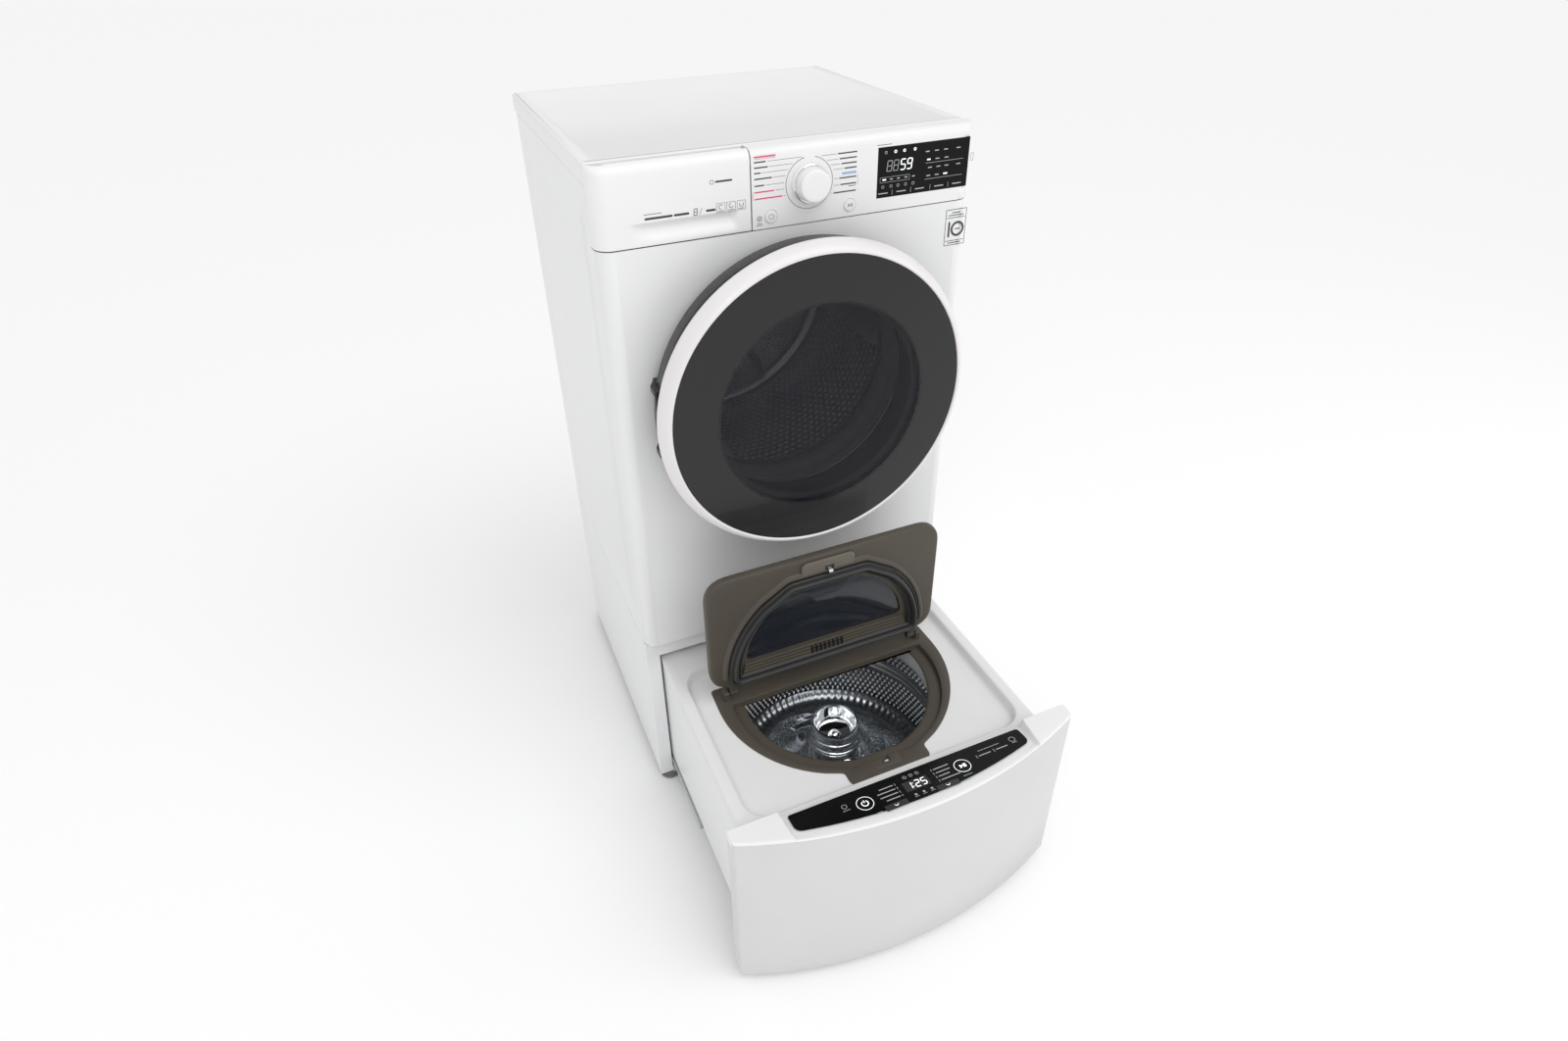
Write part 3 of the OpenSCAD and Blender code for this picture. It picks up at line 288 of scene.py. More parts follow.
CAD_FINISH = {
    "base_frame": ZINC, "side_panels": WHITE_ENAMEL, "rear_panel": ZINC, "worktop": WHITE_PLASTIC,
    "front_panel": WHITE_ENAMEL, "control_panel": WHITE_PLASTIC, "display_window": BLACK_PANEL,
    "dispenser_housing": TUB_GREY, "detergent_drawer_front": WHITE_PLASTIC, "detergent_tray": TRAY_BLUE,
    "program_dial": WHITE_PLASTIC, "power_button": WHITE_PLASTIC, "start_button": WHITE_PLASTIC,
    "door_trim_ring": RING_WHITE, "door_outer_glass": DOOR_GLASS, "door_inner_frame": BLACK_PLASTIC,
    "door_bowl_glass": CLEAR, "door_hinge": DARK_STEEL, "door_hook": ZINC, "door_gasket": GREY_RUBBER,
    "outer_tub": TUB_GREY, "drum_bearings": STEEL, "wash_drum": STEEL, "drum_lifters": TUB_GREY,
    "drum_shaft": ZINC, "motor_rotor": DARK_STEEL, "motor_stator": COPPER, "counterweights": BALLAST,
    "suspension_springs": DARK_STEEL, "shock_dampers": DARK_STEEL, "drain_pump": BLACK_PLASTIC,
    "drain_filter_cap": WHITE_PLASTIC, "filter_flap": WHITE_ENAMEL, "rear_connections": WHITE_PLASTIC,
    "drying_duct": ZINC, "pedestal_panels": WHITE_ENAMEL, "pedestal_base": ZINC,
    "pedestal_front_frame": WHITE_ENAMEL, "levelling_feet": FOOT_GREY, "outer_rails": ZINC,
    "middle_rails": ZINC, "inner_rails": ZINC, "left_roller": BLACK_RUBBER, "right_roller": BLACK_RUBBER,
    "drawer_box": WHITE_ENAMEL, "drawer_tray": TRAY_WHITE, "drawer_front": FRONT_GREY,
    "drawer_top_trim": WHITE_PLASTIC, "control_strip": BLACK_PANEL, "lid_collar": TAUPE,
    "mini_tub": TUB_GREY, "mini_drum": STEEL, "balance_ring": TUB_GREY, "pulsator": CHROME,
    "mini_motor_rotor": DARK_STEEL, "mini_motor_stator": COPPER, "lid_frame": TAUPE,
    "lid_window": SMOKED, "lid_gasket": BLACK_RUBBER, "lid_handle": TAUPE_LIGHT,
}


def finish_cad_nodes():
    for name, material in CAD_FINISH.items():
        slots = frame["nodes"][name].data.materials
        slots.clear()
        slots.append(material)


# ---- Outlines: lists of (u, v), anticlockwise ----

def arc(cu, cv, r, start, end, steps):
    """Points on a circle from one angle to another, both ends included."""
    return [(cu + r * math.cos(start + (end - start) * i / steps), cv + r * math.sin(start + (end - start) * i / steps))
            for i in range(steps + 1)]


def circle(r, steps=96, cu=0.0, cv=0.0):
    return arc(cu, cv, r, 0, TAU, steps)[:-1]


def rounded(corners, steps=6):
    """Polygon of (u, v, radius) with its corners rounded."""
    points = []
    for i, (u, v, r) in enumerate(corners):
        here = Vector((u, v))
        if r == 0:
            points.append((u, v))
            continue
        before = (Vector(corners[i - 1][:2]) - here)
        after = (Vector(corners[(i + 1) % len(corners)][:2]) - here)
        turn = before.angle(after)
        run = min(r / math.tan(turn / 2), 0.48 * before.length, 0.48 * after.length)
        a = here + before.normalized() * run
        b = here + after.normalized() * run
        for k in range(steps + 1):
            t = k / steps
            spot = a * (1 - t) ** 2 + here * (2 * t * (1 - t)) + b * t * t
            points.append((spot.x, spot.y))
    return points


def rectangle(w, h, r, cu=0.0, cv=0.0, steps=6):
    u, v = w / 2, h / 2
    return rounded([(cu + x, cv + y, r) for x, y in ((-u, -v), (u, -v), (u, v), (-u, v))], steps)


def offset(outline, d):
    """Outline grown by d, or shrunk where d is negative."""
    if d == 0:
        return list(outline)
    points = []
    count = len(outline)
    for i in range(count):
        a, b, c = (Vector(outline[k % count]) for k in (i - 1, i, i + 1))
        n1 = (b - a).normalized()
        n2 = (c - b).normalized()
        n1, n2 = Vector((n1.y, -n1.x)), Vector((n2.y, -n2.x))
        middle = (n1 + n2) / max(0.3, 1 + n1.dot(n2))
        points.append((b.x + middle.x * d, b.y + middle.y * d))
    return points


def arch(r, cv, foot, head, foot_r, head_r, steps=36):
    """Disc of radius r about (0, cv), cut flat at the foot and at the head."""
    low_a = math.asin((foot - cv) / r)
    high_a = math.asin((head - cv) / r)
    step = 9 * MM / r
    side = arc(0, cv, r, low_a + 2 * foot_r / r + step, high_a - 2 * head_r / r - step, steps)
    foot_u, head_u = r * math.cos(low_a), r * math.cos(high_a)
    return rounded([(foot_u, foot, foot_r)] + [(u, v, 0) for u, v in side] + [(head_u, head, head_r)]
                   + [(-head_u, head, head_r)] + [(-u, v, 0) for u, v in reversed(side)] + [(-foot_u, foot, foot_r)])


# ---- Mesh building ----

def level(u, v, w):
    """Outline in plan, height upwards."""
    return (u, v, w)


def facing(y):
    """Outline seen from the front, height towards the front from the plane at y."""
    return lambda u, v, w: (u, y - w, v)


class Shell:
    """A mesh made of strips between outlines and of flat fills."""

    def __init__(self, place=level):
        self.bm = bmesh.new()
        self.place = place

    def ring(self, outline, w):
        return [self.bm.verts.new(self.place(u, v, w)) for u, v in outline]

    def join(self, a, b, closed=True):
        for i in range(len(a) - (0 if closed else 1)):
            j = (i + 1) % len(a)
            self.bm.faces.new((a[i], a[j], b[j], b[i]))

    def walls(self, levels, wrap=False, closed=True):
        """Strips through (outline, height) levels. Returns the first and the last ring."""
        rings = [self.ring(outline, w) for outline, w in levels]
        for a, b in zip(rings, rings[1:] + (rings[:1] if wrap else [])):
            self.join(a, b, closed)
        return rings[0], rings[-1]

    def fill(self, *loops):
        """Flat face inside the first loop and outside the others."""
        edges = []
        for loop in loops:
            for i, vert in enumerate(loop):
                pair = (loop[i - 1], vert)
                edges.append(self.bm.edges.get(pair) or self.bm.edges.new(pair))
        bmesh.ops.triangle_fill(self.bm, use_beauty=True, edges=edges)

    def plate(self, outline, profile):
        """Solid plate through [(inset, height), ...], closed at both ends."""
        first, last = self.walls([(offset(outline, -inset), w) for inset, w in profile])
        self.fill(first)
        self.fill(last)

    def block(self, lo, hi, edge=0.0):
        """Box between two corners in real space, with its upright corners and its top edge eased."""
        w, h = hi[0] - lo[0], hi[1] - lo[1]
        outline = rectangle(w, h, max(edge, 0.05 * MM), (lo[0] + hi[0]) / 2, (lo[1] + hi[1]) / 2, 3)
        self.plate(outline, [(0, lo[2]), (0, hi[2] - edge), (edge, hi[2])] if edge else [(0, lo[2]), (0, hi[2])])

    def turned(self, profile, steps=128, wrap=True, cu=0.0, cv=0.0):
        """Shape turned round (cu, cv) through [(radius, height), ...]."""
        self.walls([(circle(max(r, 0.01 * MM), steps, cu, cv), w) for r, w in profile], wrap)

    def done(self, name, material, body, slot, *nodes, smooth=35):
        bmesh.ops.remove_doubles(self.bm, verts=self.bm.verts, dist=0.02 * MM)
        bmesh.ops.recalc_face_normals(self.bm, faces=self.bm.faces)
        mesh = bpy.data.meshes.new(name)
        self.bm.to_mesh(mesh)
        self.bm.free()
        for face in mesh.polygons:
            face.use_smooth = True
        mesh.set_sharp_from_angle(angle=math.radians(smooth))
        mesh.materials.append(material)
        piece = bpy.data.objects.new(name, mesh)
        bpy.context.scene.collection.objects.link(piece)
        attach(piece, body)
        if nodes:
            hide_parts(*nodes)
        return piece


# ---- Lid of the drawer washer, standing open ----

LID_IN = facing(LID_Y)
GASKET_Z = 365 * MM
PANE = (157 * MM, GASKET_Z, 384 * MM, 514 * MM, 14 * MM, 20 * MM)


def lid_plate():
    lo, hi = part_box("lid_frame")
    foot = joint_pos("lid_hinge").z + 15 * MM
    w, h, t = hi.x - lo.x, hi.z - foot, hi.y - LID_Y
    plate = rectangle(w, h, 46 * MM, 0, foot + h / 2, 10)
    shell = Shell(LID_IN)
    edge = [(7, -t), (3, -t + 1.2 * MM), (0.6, -t + 4 * MM), (0, -t / 2), (0.5, -3.4 * MM), (2, -1.2 * MM), (5, -0.2 * MM), (8, 0)]
    back, front = shell.walls([(offset(plate, -inset * MM), height) for inset, height in edge])
    # outer side: a shallow pressed field
    field, well = shell.walls([(offset(plate, -24 * MM), -t), (offset(plate, -27 * MM), -t + 0.8 * MM)])
    shell.fill(back, field)
    shell.fill(well)
    # inner side: well of the window inside the gasket
    pane = arch(*PANE)
    mouth = arch(166.5 * MM, GASKET_Z, 357 * MM, 520.5 * MM, 10 * MM, 18 * MM)
    top, low_ring = shell.walls([(mouth, 0), (mouth, -2 * MM)])
    inner, floor = shell.walls([(pane, -2 * MM), (pane, -9 * MM)])
    shell.fill(front, top)
    shell.fill(low_ring, inner)
    shell.fill(floor)
    shell.done("lid_plate", TAUPE, "lid", "taupe_plastic", "lid_frame")


def lid_rim():
    """Raised band round the seal, open at the foot."""
    shell = Shell(LID_IN)
    base = arch(191 * MM, GASKET_Z, 341 * MM, 541 * MM, 6 * MM, 24 * MM, 48)
    count = len(base)
    # keep the part above the foot: the outline starts at the right foot corner
    cut = 7
    open_part = [i for i in range(count) if cut <= i < count - cut]
    profile = [(-1.0, -0.5), (-1.0, 4.2), (0.4, 5.6), (3.2, 6.0), (6.2, 4.6), (8.6, 1.6), (9.6, -0.5)]
    rows = []
    for d, w in profile:
        grown = offset(base, d * MM)
        rows.append([shell.bm.verts.new(shell.place(*grown[i], w * MM)) for i in open_part])
    for a, b in zip(rows, rows[1:]):
        shell.join(a, b, closed=False)
    shell.bm.faces.new([row[0] for row in rows])
    shell.bm.faces.new([row[-1] for row in reversed(rows)])
    shell.done("lid_rim", TAUPE, "lid", "taupe_plastic")


def lid_seal():
    """Ribbed rubber seal: three lips round the window."""
    base = arch(176 * MM, GASKET_Z, 353.6 * MM, 526 * MM, 12 * MM, 24 * MM, 48)
    profile = [(-9.4, 0), (-9.6, 5), (-8.6, 8.8), (-7.0, 9.6), (-5.6, 8.2), (-4.6, 5.2), (-3.0, 4.6), (-1.8, 7.4),
               (-1.2, 12.6), (0.4, 14.8), (2.6, 15.4), (4.6, 14.2), (5.6, 11.6), (6.2, 7.0), (7.6, 6.2),
               (9.0, 8.2), (10.4, 8.6), (11.6, 7.2), (11.8, 3.0), (11.4, 0)]
    shell = Shell(LID_IN)
    shell.walls([(offset(base, d * MM), w * MM) for d, w in profile], wrap=True)
    shell.done("lid_seal", BLACK_RUBBER, "lid", "black_rubber", "lid_gasket", smooth=50)


def lid_pane():
    """Domed smoked pane."""
    outline = offset(arch(*PANE), -0.3 * MM)
    cu, cv = 0, (PANE[2] + PANE[3]) / 2
    shell = Shell(LID_IN)
    steps = 7
    levels = [(outline, -9 * MM)]
    for i in range(steps):
        k = 1 - i / steps
        height = -6 + 5.0 * (1 - k ** 2)
        levels.append(([(cu + (u - cu) * k, cv + (v - cv) * k) for u, v in outline], height * MM))
    first, last = shell.walls(levels)
    shell.fill(first)
    shell.fill(last)
    shell.done("lid_pane", SMOKED, "lid", "smoked_window", "lid_window", smooth=50)


def lid_sill():
    """Stepped sill and air slots under the window."""
    shell = Shell(LID_IN)
    half = [163, 161, 159, 157]
    for i, (x, z) in enumerate(zip(half, (358.6, 364.6, 370.6, 376.6))):
        profile = [(0, -2.2 * MM), (0, (5.2 - 1.3 * i) * MM), (0.8 * MM, (6.0 - 1.3 * i) * MM)]
        outline = rectangle(2 * x * MM, 5 * MM, 1.2 * MM, 0, (z + 2.6) * MM, 3)
        shell.plate(outline, profile)
    shell.done("lid_sill", TAUPE, "lid", "taupe_plastic")
    slots = Shell(LID_IN)
    for i in range(8):
        x = (-29 + 8.4 * i) * MM
        slots.plate(rectangle(3.4 * MM, 15 * MM, 1.6 * MM, x, 370 * MM, 3), [(0, 1 * MM), (0, 6.4 * MM), (0.4 * MM, 6.6 * MM)])
    slots.done("lid_air_slots", BLACK_PLASTIC, "lid", "black_plastic")


def lid_hinge_bar():
    """Knuckles and arms of the lid's hinge."""
    pivot = joint_pos("lid_hinge")
    shell = Shell()
    for side in (-1, 1):
        a, b = sorted((side * 172 * MM, side * 187.2 * MM))
        shell.block((a, LID_Y + 0.5 * MM, pivot.z), (b, LID_Y + 12 * MM, pivot.z + 40 * MM), 1 * MM)
        axis = Shell(lambda u, v, w: (w, pivot.y + u, pivot.z + v))
        axis.plate(circle(6 * MM, 32), [(0.6 * MM, a), (0, a + 0.6 * MM), (0, b - 0.6 * MM), (0.6 * MM, b)])
        axis.done(f"lid_knuckle_{'left' if side < 0 else 'right'}", TAUPE, "lid", "taupe_plastic")
    shell.done("lid_hinge_arms", TAUPE, "lid", "taupe_plastic")


def lid_handle():
    """Grip bar of the latch, its hook and the socket behind the hook."""
    lo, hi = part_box("lid_handle")
    z0, z1 = lo.z, hi.z
    t = 5.2 * MM  # thin enough to close over the strike plate
    shell = Shell(LID_IN)
    w = 100 * MM
    outline = rounded([(-w / 2, z0, 4 * MM), (w / 2, z0, 4 * MM), (w / 2, z1 - 6 * MM, 6 * MM), (w / 2 - 7 * MM, z1, 6 * MM),
                       (-w / 2 + 7 * MM, z1, 6 * MM), (-w / 2, z1 - 6 * MM, 6 * MM)])
    shell.plate(outline, [(0.8 * MM, 0.8 * MM), (0, 1.6 * MM), (0, t - 2.2 * MM), (0.8 * MM, t - 0.8 * MM),
                          (2.4 * MM, t - 0.1 * MM), (4.5 * MM, t)])
    shell.done("handle_grip", TAUPE_LIGHT, "lid_latch", "taupe_plastic", "lid_handle")
    # hook in side view: stem, nose and barb
    hook = Shell(lambda u, v, w: (w, LID_Y - u, v))
    side = [(t, z0 + 9.5 * MM, 0), (13.2 * MM, z0 + 9 * MM, 1 * MM), (14.6 * MM, z0 + 5 * MM, 1.5 * MM),
            (14.4 * MM, z0 + 2.6 * MM, 0.6 * MM), (11.8 * MM, z0 + 4.4 * MM, 0.8 * MM), (t, z0 + 4 * MM, 0)]
    hook.plate(rounded(side, 4), [(0.5 * MM, -3.6 * MM), (0, -3.1 * MM), (0, 3.1 * MM), (0.5 * MM, 3.6 * MM)])
    hook.done("latch_hook", CHROME, "lid_latch", "stainless")
    socket = Shell(LID_IN)
    socket.plate(rectangle(17 * MM, 10 * MM, 2 * MM, 2 * MM, z0 + 8 * MM),
                 [(0, t - 2 * MM), (0, t + 0.1 * MM), (0.3 * MM, t + 0.2 * MM)])
    socket.done("latch_socket", BLACK_PLASTIC, "lid_latch", "black_plastic")


# ---- Collar, tray and small drum ----

def collar_outline():
    """Circle with straight shoulders to the rear corners and a nose at the front."""
    r, cy = 215 * MM, FRONT - 144 * MM
    rear = FRONT - 88 * MM
    corner = Vector((213.5 * MM, rear - cy))
    turn = math.atan2(corner.y, corner.x) - math.acos(r / corner.length)
    nose_x, nose_y = 74 * MM, low("lid_collar").y
    lean = math.acos(nose_x / r)
    right = arc(0, cy, r, 0.14 - lean, turn, 44)
    nose_top = cy - r * math.sin(lean)
    outline = [(-nose_x, nose_y, 16 * MM), (nose_x, nose_y, 16 * MM), (nose_x, nose_top, 9 * MM)]
    outline += [(u, v, 0) for u, v in right] + [(corner.x, rear, 8 * MM), (-corner.x, rear, 8 * MM)]
    outline += [(-u, v, 0) for u, v in reversed(right)] + [(-nose_x, nose_top, 9 * MM)]
    return rounded(outline)


def collar():
    top = DISH_Z + 2 * MM
    outer = collar_outline()
    shell = Shell()
    foot, crown = shell.walls([
        (offset(outer, -9.2 * MM), low("lid_collar").z), (offset(outer, -9.2 * MM), DISH_Z + 0.1 * MM),
        (outer, DISH_Z + 0.1 * MM), (outer, DISH_Z + 0.9 * MM), (offset(outer, -0.6 * MM), DISH_Z + 1.6 * MM),
        (offset(outer, -1.8 * MM), top)])
    ledge_z = DISH_Z - 7.5 * MM
    cy = MINI.y + 4 * MM
    ledge = arch(190.5 * MM, cy, cy - 181 * MM, cy + 27 * MM, 22 * MM, 6 * MM, 44)
    # slot for the latch in the middle of the nose
    slot_x, slot_y = 7 * MM, cy - 191 * MM
    ledge += rounded([(-slot_x, cy - 181 * MM, 1 * MM), (-slot_x, slot_y, 2 * MM), (slot_x, slot_y, 2 * MM),
                      (slot_x, cy - 181 * MM, 1 * MM)], 3)
    lip, step = shell.walls([
        (offset(ledge, 1.4 * MM), top), (offset(ledge, 0.4 * MM), top - 0.5 * MM), (ledge, top - 1.6 * MM),
        (ledge, ledge_z - 1.2 * MM), (offset(ledge, -1.4 * MM), ledge_z - 1.2 * MM), (offset(ledge, -1.9 * MM), ledge_z)])
    mouth = arch(168 * MM, MINI.y + 7 * MM, MINI.y - 155.5 * MM, MINI.y + 33 * MM, 10 * MM, 10 * MM, 40)
    bevel, end = shell.walls([
        (offset(mouth, 5 * MM), ledge_z), (offset(mouth, 1.6 * MM), ledge_z - 0.9 * MM),
        (mouth, ledge_z - 2.5 * MM), (mouth, low("lid_collar").z)])
    shell.fill(crown, lip)
    shell.fill(step, bevel)
    shell.fill(foot, end)
    shell.done("collar_ring", TAUPE, "drawer", "taupe_plastic", "lid_collar")


def collar_fittings():
    """Ears of the lid's hinge, the strike and its plate."""
    pivot = joint_pos("lid_hinge")
    top = DISH_Z + 2 * MM
    ears = Shell()
    for side in (-1, 1):
        a, b = sorted((side * 188.4 * MM, side * 198 * MM))
        ears.block((a, pivot.y - 8 * MM, DISH_Z), (b, pivot.y + 9 * MM, pivot.z + 6 * MM), 2 * MM)
    ears.done("hinge_ears", TAUPE, "drawer", "taupe_plastic")
    nose_y = low("lid_collar").y
    # the plate leaves the latch's slot open
    back, slot_end = nose_y + 32 * MM, nose_y + 22 * MM
    outline = [(-24 * MM, nose_y + 12 * MM, 5 * MM), (24 * MM, nose_y + 12 * MM, 5 * MM), (24 * MM, back, 3 * MM),
               (8 * MM, back, 0.5 * MM), (8 * MM, slot_end, 2 * MM), (-8 * MM, slot_end, 2 * MM),
               (-8 * MM, back, 0.5 * MM), (-24 * MM, back, 3 * MM)]
    plate = Shell()
    plate.plate(rounded(outline, 4), [(0, top - 1 * MM), (0, top + 0.05 * MM), (0.4 * MM, top + 0.25 * MM)])
    plate.done("strike_plate", TAUPE, "drawer", "taupe_plastic")
    keeper = Shell(lambda u, v, w: (w, nose_y + 23.4 * MM + u, top + v))
    side = [(-1.7, -7.5, 0), (-1.7, 0, 0.3), (-1.1, 0.3, 0.3), (1.7, 0.3, 0.4), (1.7, -1.8, 0.3), (0.4, -1.8, 0.3), (0.4, -7.5, 0)]
    keeper.plate(rounded([(u * MM, v * MM, r * MM) for u, v, r in side], 3),
                 [(0.4 * MM, -3.4 * MM), (0, -3 * MM), (0, 3 * MM), (0.4 * MM, 3.4 * MM)])
    keeper.done("strike_keeper", CHROME, "drawer", "stainless")


# ---- Marks: thin raised prints on a face ----

class Marks(Shell):
    """Printed lines, rings, icons and digits, a hair proud of the face under them."""

    def __init__(self, place, base=0.0, proud=0.12 * MM):
        super().__init__(place)
        self.base = base - 0.05 * MM
        self.proud = base + proud

    def shape(self, points):
        self.plate(points, [(0, self.base), (0, self.proud)])

    def bar(self, cu, cv, w, h, r=0.0):
        self.shape(rectangle(w, h, r or 0.3 * min(w, h), cu, cv, 2))

    def line(self, points, t):
        for a, b in zip(points, points[1:]):
            a, b = Vector(a), Vector(b)
            side = Vector((a.y - b.y, b.x - a.x)).normalized() * t / 2
            self.shape([tuple(a - side), tuple(b - side), tuple(b + side), tuple(a + side)])

    def hoop(self, cu, cv, r, t, steps=48):
        self.turned([(r - t / 2, self.base), (r + t / 2, self.base), (r + t / 2, self.proud),
                     (r - t / 2, self.proud)], steps, True, cu, cv)

    def sweep(self, cu, cv, r, t, start, end, steps=28):
        """Part of a ring, from one angle to another."""
        self.shape(arc(cu, cv, r + t / 2, start, end, steps) + arc(cu, cv, r - t / 2, end, start, steps))

    def power(self, cu, cv, r, t):
        self.sweep(cu, cv, r, t, math.radians(125), math.radians(415))
        self.bar(cu, cv + r * 0.75, t, r * 0.95)

    def play(self, cu, cv, r, t):
        self.shape([(cu - r, cv - r * 0.8), (cu + r * 0.15, cv), (cu - r, cv + r * 0.8)])
        self.bar(cu + r * 0.42, cv, t, r * 1.5)
        self.bar(cu + r * 0.95, cv, t, r * 1.5)

    def digit(self, number, cu, cv, w, h, t):
        """Seven-segment figure that leans a little."""
        lean = 0.10
        u, v = w / 2, h / 2
        ends = {"a": ((-u, v), (u, v)), "b": ((u, v), (u, 0)), "c": ((u, 0), (u, -v)), "d": ((-u, -v), (u, -v)),
                "e": ((-u, 0), (-u, -v)), "f": ((-u, v), (-u, 0)), "g": ((-u, 0), (u, 0))}
        lit = {1: "bc", 2: "abged", 5: "afgcd", 9: "abcdfg", 8: "abcdefg"}[number]
        for name in lit:
            a, b = (Vector((x + lean * y, y)) for x, y in ends[name])
            along = (b - a).normalized() * t * 0.62
            side = Vector((-along.y, along.x)) * 0.8
            a, b = a + along, b - along
            self.shape([(cu + q.x, cv + q.y) for q in
                        (a - along * 0.7, a - side, b - side, b + along * 0.7, b + side, a + side)])


# ---- Drawer: tray, bowed front, top trim and control strip ----

def across(u, v, w):
    """Outline in depth and height, swept along the width."""
    return (w, u, v)


HALF_W = high("worktop").x
BOW, END_T = 60 * MM, 25 * MM
BOW_R = (HALF_W ** 2 + BOW ** 2) / (2 * BOW)
TRIM_TOP = high("drawer_top_trim").z
FRONT_TOP = high("drawer_front").z
SEAT_Z = FRONT_TOP - 13.5 * MM
SLOPE = 14.4 / 79


def bow_y(x, inset=0.0):
    """Front line of the drawer front at x."""
    return DRAWER_Y - END_T - BOW + BOW_R - math.sqrt((BOW_R - inset) ** 2 - x * x)


def slope_z(y):
    """Height of the sloping face under the control strip."""
    return TRIM_TOP - 15 * MM + (DRAWER_Y + 1 * MM - y) * SLOPE


def stations(count, *extra):
    """Places across the width, close together at the ends and at the extra ones."""
    ends = [HALF_W - e * MM for e in (0, 0.4, 1.1, 2, 3)]
    xs = [-HALF_W + 3 * MM + (2 * HALF_W - 6 * MM) * i / count for i in range(1, count)]
    return sorted(set(ends + [-x for x in ends] + xs + [x for x in extra] + [-x for x in extra]))


def end_ease(x, r=3 * MM):
    """How far the front falls back next to its upright end edges."""
    near = r - (HALF_W - abs(x))
    return r - math.sqrt(r * r - near * near) if near > 0 else 0.0


def smooth(t):
    t = min(1.0, max(0.0, t))
    return t * t * (3 - 2 * t)


def drawer_front():
    foot = low("drawer_front").z
    shell = Shell(across)

    def section(x):
        y = bow_y(x) + end_ease(x)
        return [(DRAWER_Y, foot + 1 * MM), (DRAWER_Y, SEAT_Z), (y + 3.2 * MM, SEAT_Z), (y + 3.2 * MM, FRONT_TOP - 0.6 * MM),
                (y + 2.4 * MM, FRONT_TOP), (y + 1.6 * MM, FRONT_TOP), (y + 0.5 * MM, FRONT_TOP - 0.5 * MM), (y, FRONT_TOP - 1.6 * MM),
                (y, foot + 2.6 * MM), (y + 0.7 * MM, foot + 0.8 * MM), (y + 2.4 * MM, foot)]

    first, last = shell.walls([(section(x), x) for x in stations(72)])
    shell.fill(first)
    shell.fill(last)
    shell.done("drawer_front_panel", FRONT_GREY, "drawer", "light_grey_front", "drawer_front")


def top_trim():
    """White cap of the drawer front, hollowed for the strip between two raised horns."""
    base = FRONT_TOP + 0.3 * MM
    ramp = (209 * MM, 223 * MM)
    extra = [ramp[0] + (ramp[1] - ramp[0]) * i / 8 for i in range(9)]
    shell = Shell(across)

    def section(x):
        front = bow_y(x) + end_ease(x)
        lift = 17 * MM * smooth((abs(x) - ramp[0]) / (ramp[1] - ramp[0]))
        rows = 9
        points = []
        for k in range(rows + 1):
            y = DRAWER_Y + (front + 3.4 * MM - DRAWER_Y) * k / rows
            points.append((y, min(TRIM_TOP, max(slope_z(y) + lift, base + 1.9 * MM if k == rows else 0))))
        crown = points[-1][1]
        points[0] = (DRAWER_Y + 0.0 * MM, points[0][1] - 1.0 * MM)
        points.insert(1, (DRAWER_Y - 1.0 * MM, points[0][1] + 1.0 * MM))
        points += [(front + 1.6 * MM, crown - 0.25 * MM), (front + 0.5 * MM, crown - 0.8 * MM), (front, crown - 1.6 * MM),
                   (front, base + 0.4 * MM), (front + 0.5 * MM, base), (front + 3.4 * MM, base), (front + 3.4 * MM, SEAT_Z + 0.2 * MM),
                   (DRAWER_Y, SEAT_Z + 0.2 * MM)]
        return points

    first, last = shell.walls([(section(x), x) for x in stations(72, *extra)])
    shell.fill(first)
    shell.fill(last)
    shell.done("drawer_cap", WHITE_PLASTIC, "drawer", "white_plastic", "drawer_top_trim", smooth=40)


def on_strip(u, v, w):
    """Across the strip, along its slope in plan, and up from its face."""
    return (u, v, slope_z(v) + w)


def strip_outline():
    half = high("control_strip").x
    back = DRAWER_Y - 6 * MM
    front = [(x, bow_y(x) + 20 * MM) for x in (half * (1 - 2 * i / 32) for i in range(2, 31))]
    return rounded([(-half, back, 4 * MM), (half, back, 4 * MM), (half, bow_y(half) + 19.6 * MM, 14 * MM)]
                   + [(x, y, 0) for x, y in front] + [(-half, bow_y(half) + 19.6 * MM, 14 * MM)], 8)[::-1]


